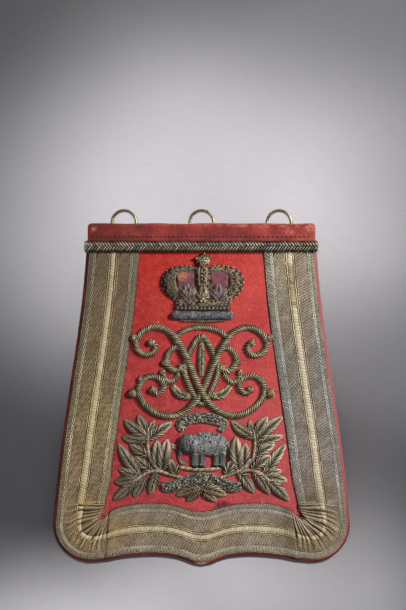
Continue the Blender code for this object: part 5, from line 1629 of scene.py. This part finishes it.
def crownSide(name, side, tints, bright):
    # one side arch with the ground and the velvet cap inside it; beads along its outer edge
    pads, chips, beads, velvet, rim = Gather(), Gather(), Gather(), Gather(), Gather()
    arch = crownStroke(crown["sideArch"], 0.66, side)
    arch.pad(pads)
    arch.chips(chips, 420, *crown["chip"], tints, span=0.76)
    arch.cord(chips, 0.86 * side, 0.6, twist=2.1)
    arch.beads(beads, -0.94 * side, 2.1, 0.95, start=0.6, tints=(0.0, 0.8), proud=0.3, inTurn=True)
    arch.beads(beads, -0.66 * side, 2.3, 0.8, start=1.6, tints=(0.0, bright), proud=0.5, inTurn=True)
    arch.beads(beads, -0.1 * side, 2.6, 0.7, start=3.0, share=0.66, tints=(0.15, 0.75), proud=0.5)
    ground = crownStroke(crown["ground"], 0.12, side, flatPad)
    ground.pad(pads, under=0.0)
    ground.chips(chips, 320, *crown["chip"], (0.1, 0.5), span=0.95)
    crownPieces(f"arch_{name}", pads, chips, beads)
    cap = crownStroke(crown["cap"], 0.23, side, flatPad)
    cap.pad(velvet, 0.5, across=19, step=0.6, under=0.0)
    velvet.piece(f"crown_cap_{name}_velvet", "crimson_velvet", f"crown_cap_{name}", 0.9)
    for a in (-0.9, 0.9):
        cap.cord(rim, a, 0.42, tint=0.1)
    rim.piece(f"crown_cap_{name}_cord", "grey_thread", fill=0.9)


def crownMiddle():
    pads, chips, beads = Gather(), Gather(), Gather()
    middle = crownStroke(crown["middleArch"], 0.7)
    middle.pad(pads, 0.1)
    middle.chips(chips, 170, *crown["chip"], (0.25, 0.8), span=0.95)
    for a in (-0.5, 0.5):
        middle.cord(chips, a, 0.6, tint=0.62, proud=0.3, twist=2.1)
    for a, start in ((-0.17, 0.5), (0.17, 1.5)):
        middle.beads(beads, a, 2.1, 0.85, start=start, tints=(0.0, 0.62), proud=0.6, inTurn=True)
    crownPieces("arch_middle", pads, chips, beads)


def crownCirclet():
    # jewelled band with three upright sprays of leaves, the middle one golden
    pads, chips, beads, mauve = Gather(), Gather(), Gather(), Gather()
    band = crownStroke(crown["circlet"], 0.7)
    band.pad(pads)
    band.chips(chips, 520, *crown["chip"], (0.2, 0.72), span=0.9)
    for a, start, bright in crown["beadRows"]:
        band.beads(beads, a, 1.95, 0.85, start=start, tints=(0.0, bright), proud=0.4, inTurn=True)
    band.cord(chips, 0.72, 0.5, tint=0.6, proud=0.2, twist=2.1)
    shift = crown["shift"]
    leaves = [leafStroke(row, side, 0.3, shift) for row in crown["points"] for side in (1, -1)]
    stalks = [leafStroke(row, shift=shift) for row in crown["stalk"]]
    laidOver([band] + leaves + stalks)
    for strokes, into, brightest in ((leaves, mauve, 0.9), (stalks, chips, 0.8)):
        for stroke in strokes:
            stroke.lift = stroke.lift * 0.45 + 1.3
            stroke.pad(pads, 0.05, across=11, under=0.3)
            stroke.veinWires(into, 1.5, 1.5, 0.44, tints=(0.25, brightest), inner=0.04)
            # dark cords at both edges and down the middle: painted shade outlining each leaf and its groove
            for a in (-1.0, 0.0, 1.0):
                stroke.cord(into, a, 0.34, tint=0.08, twist=1.4, proud=0.1)
    hearts = toWorld(np.array(crown["hearts"]) + (shift, 0), seat + 7.2 * mm)
    chips.copies(bead, hearts, 1.1, 1.0)
    crownPieces("circlet", pads, chips, beads)
    mauve.piece("crown_leaves_chips", "mauve_thread", fill=0.9)


def crownFoot():
    # the roll under the circlet and the line under the roll
    pads, threads, line = Gather(), Gather(), Gather()
    roll = crownStroke(crown["roll"], 1.1)
    roll.pad(pads, 0.1, across=13)
    roll.wires(threads, 1.5, 0.5, 0.5, k=11, tints=(0.1, 0.45), reach=0.99)
    roll.chips(threads, 430, 1.7, 0.44, (0.1, 1.0), span=0.94)
    pads.piece("crown_roll_padding", "grey_pad_in_shade", "crown_roll", 1.0)
    threads.piece("crown_roll_threads", "blue_grey_thread", fill=1.0)
    stroke = crownStroke(crown["underline"], 1.0)
    stroke.pad(line, 0.1, across=7, under=0.0)
    stroke.wires(line, 1.7, 1.0, 0.5, k=7, tints=(0.1, 0.5))
    line.piece("crown_underline_cord", "crown_gold_thread", "crown_underline")


def crownOrb():
    pads, chips, beads = Gather(), Gather(), Gather()
    orb = ballStroke(*crown["orb"], 0.85, crown["shift"])
    orb.pad(pads, 0.1)
    orb.chips(chips, 130, *crown["chip"], (0.25, 0.9))
    orb.cord(chips, 0.0, 0.6, tint=0.8, proud=0.3, twist=2.1)
    for rows in crown["cross"]:
        arm = crownStroke(rows, 1.05)
        arm.lift[:] = 2.2
        arm.pad(pads, 0.1)
        arm.chips(chips, int(arm.length * 4.4), *crown["chip"], (0.1, 0.8))
        arm.beads(beads, 0.0, 2.8, 0.9, start=0.8, tints=(0.0, 0.9), proud=0.5)
    crownPieces("orb", pads, chips, beads)


for row in crown["sides"]:
    crownSide(*row)
crownMiddle()
crownCirclet()
crownFoot()
crownOrb()
print("crown made")

# braid and loops

braid = {
    "height": 319, "wide": 11.6, "low": 0.0187, "thick": 4.4, "half": 114.4, "turn": 2.6, "over": 2.4,
    "pitch": 3.0, "run": 5.0,
    "strands": ((0.0, 0.72, 0.5, 0.0), (1.5, 0.0, 0.3, 1.1)),  # offset, tint, radius and how deep it lies; the dark sunk strand is painted shade in the gap between the bright ones
}


def braidAt(s, v, up):
    # s along the braid from its middle, v across it, up off its back; its ends turn down over the edge
    s, v, up = np.broadcast_arrays(s, v, up)
    turn, far = braid["turn"], np.abs(s) - braid["half"]
    quarter, reach = turn * math.pi / 2, turn - (braid["thick"] - up)
    angle = np.clip(far, 0, quarter) / turn
    x = np.minimum(np.abs(s), braid["half"]) + np.sin(angle) * reach
    z = up - (1 - np.cos(angle)) * reach - np.clip(far - quarter, 0, 9)
    return toWorld(np.stack([np.sign(s) * x, braid["height"] + v], axis=-1), braid["low"] + z * mm)


def makeBraid():
    half, edgeV = braid["half"] + braid["turn"] * math.pi / 2 + braid["over"], braid["wide"] / 2
    core, wires = Gather(), Gather()
    turn = np.linspace(0, math.pi, 11)
    section = edgeV * 0.86 * np.cos(turn), 1.7 * np.sin(turn) ** 0.6
    core.sheet(braidAt(np.linspace(-half, half, 170)[:, None], *section)[:, ::-1], 0.0)
    core.piece("braid_core_in_shade", "braid_core_in_shade", "braid_band")
    t = np.linspace(0, 1, 9)
    arch = np.sin(t * math.pi)
    for way, late in ((1, braid["pitch"] / 2), (-1, 0)):
        starts = np.arange(-half + 0.5, half - 4.6, braid["pitch"]) + late
        across = way * (edgeV - 0.2 - (edgeV + 0.5) * t)
        for offset, bright, radius, deep in braid["strands"]:
            run = np.clip(starts[:, None] + braid["run"] * t + offset, -half, half)
            paths = braidAt(run, across, 2.5 - deep + 1.6 * arch**0.8 - 1.2 * (1 - t) ** 6)
            # painted light: each strand is brighter at its crest and darker towards its ends, where it dives
            # under
            shade = bright + rng.uniform(-0.2, 0.12, len(starts))[:, None] + 0.5 * arch - 0.4
            wires.tubes(paths, radius, sides=6, half=False, tint=np.clip(shade, 0, 1))
    for end in (-1, 1):  # whipped ends
        for k in range(3):
            across = np.linspace(-edgeV + 0.6, edgeV - 0.6, 12)
            path = braidAt(end * (half - 0.6 - k), across, braid["thick"] - 0.5)
            wires.tubes(path, 0.5, (end, 0, 0.2), sides=6, half=False, tint=0.3 + 0.2 * k)
    wires.piece("braid_strands", "braid_wire")


loop = {"spacing": 78, "radius": 12.1, "wire": 1.3, "arch": 343.5, "level": 0.0104, "bar": 339.3, "bend": 2.0}


def makeLoops():
    # closed loops of round wire with a straight bar in the fold, each bent a little differently
    radius, bend = loop["radius"], loop["bend"]
    for name, place in (("left", -1), ("centre", 0), ("right", 1)):
        arcs = [(0, loop["arch"], radius, np.linspace(0, math.pi, 33))]
        for side, first in ((-1, math.pi), (1, 1.5 * math.pi)):
            turn = np.linspace(first, first + math.pi / 2, 7)
            arcs.append((side * (radius - bend), loop["bar"] + bend, bend, turn))
        path = np.vstack([np.stack([x + r * np.cos(a), h + r * np.sin(a)], axis=1) for x, h, r, a in arcs])
        path = np.vstack([path, path[:2]]) + (place * loop["spacing"], 0)
        count = np.arange(len(path))
        path[:, 0] += 0.12 * np.sin(count * 0.7 + place)
        thick = loop["wire"] * (1 - 0.05 * np.abs(np.sin(count * 0.9 + place)))
        shape = Gather()
        shape.tubes(toWorld(path, loop["level"]), thick, sides=12, half=False)
        shape.piece(f"loop_{name}_wire", "loop_brass", f"loop_{name}")


makeBraid()
makeLoops()
print("braid and loops made")

# parts that keep their CAD shape

kept = {
    "looks": {"flap_board": "edge_leather", "pouch_back": "pouch_leather", "pouch_front": "pouch_leather",
              "pouch_gusset": "pouch_leather"},
    "softEdge": 0.45,
}
for node, look in kept["looks"].items():
    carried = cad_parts[node]
    carried.data.materials.clear()
    carried.data.materials.append(looks[look][0])
    softer = carried.modifiers.new("soft_edges", "BEVEL")
    softer.width, softer.segments, softer.limit_method = kept["softEdge"] * mm, 3, "ANGLE"
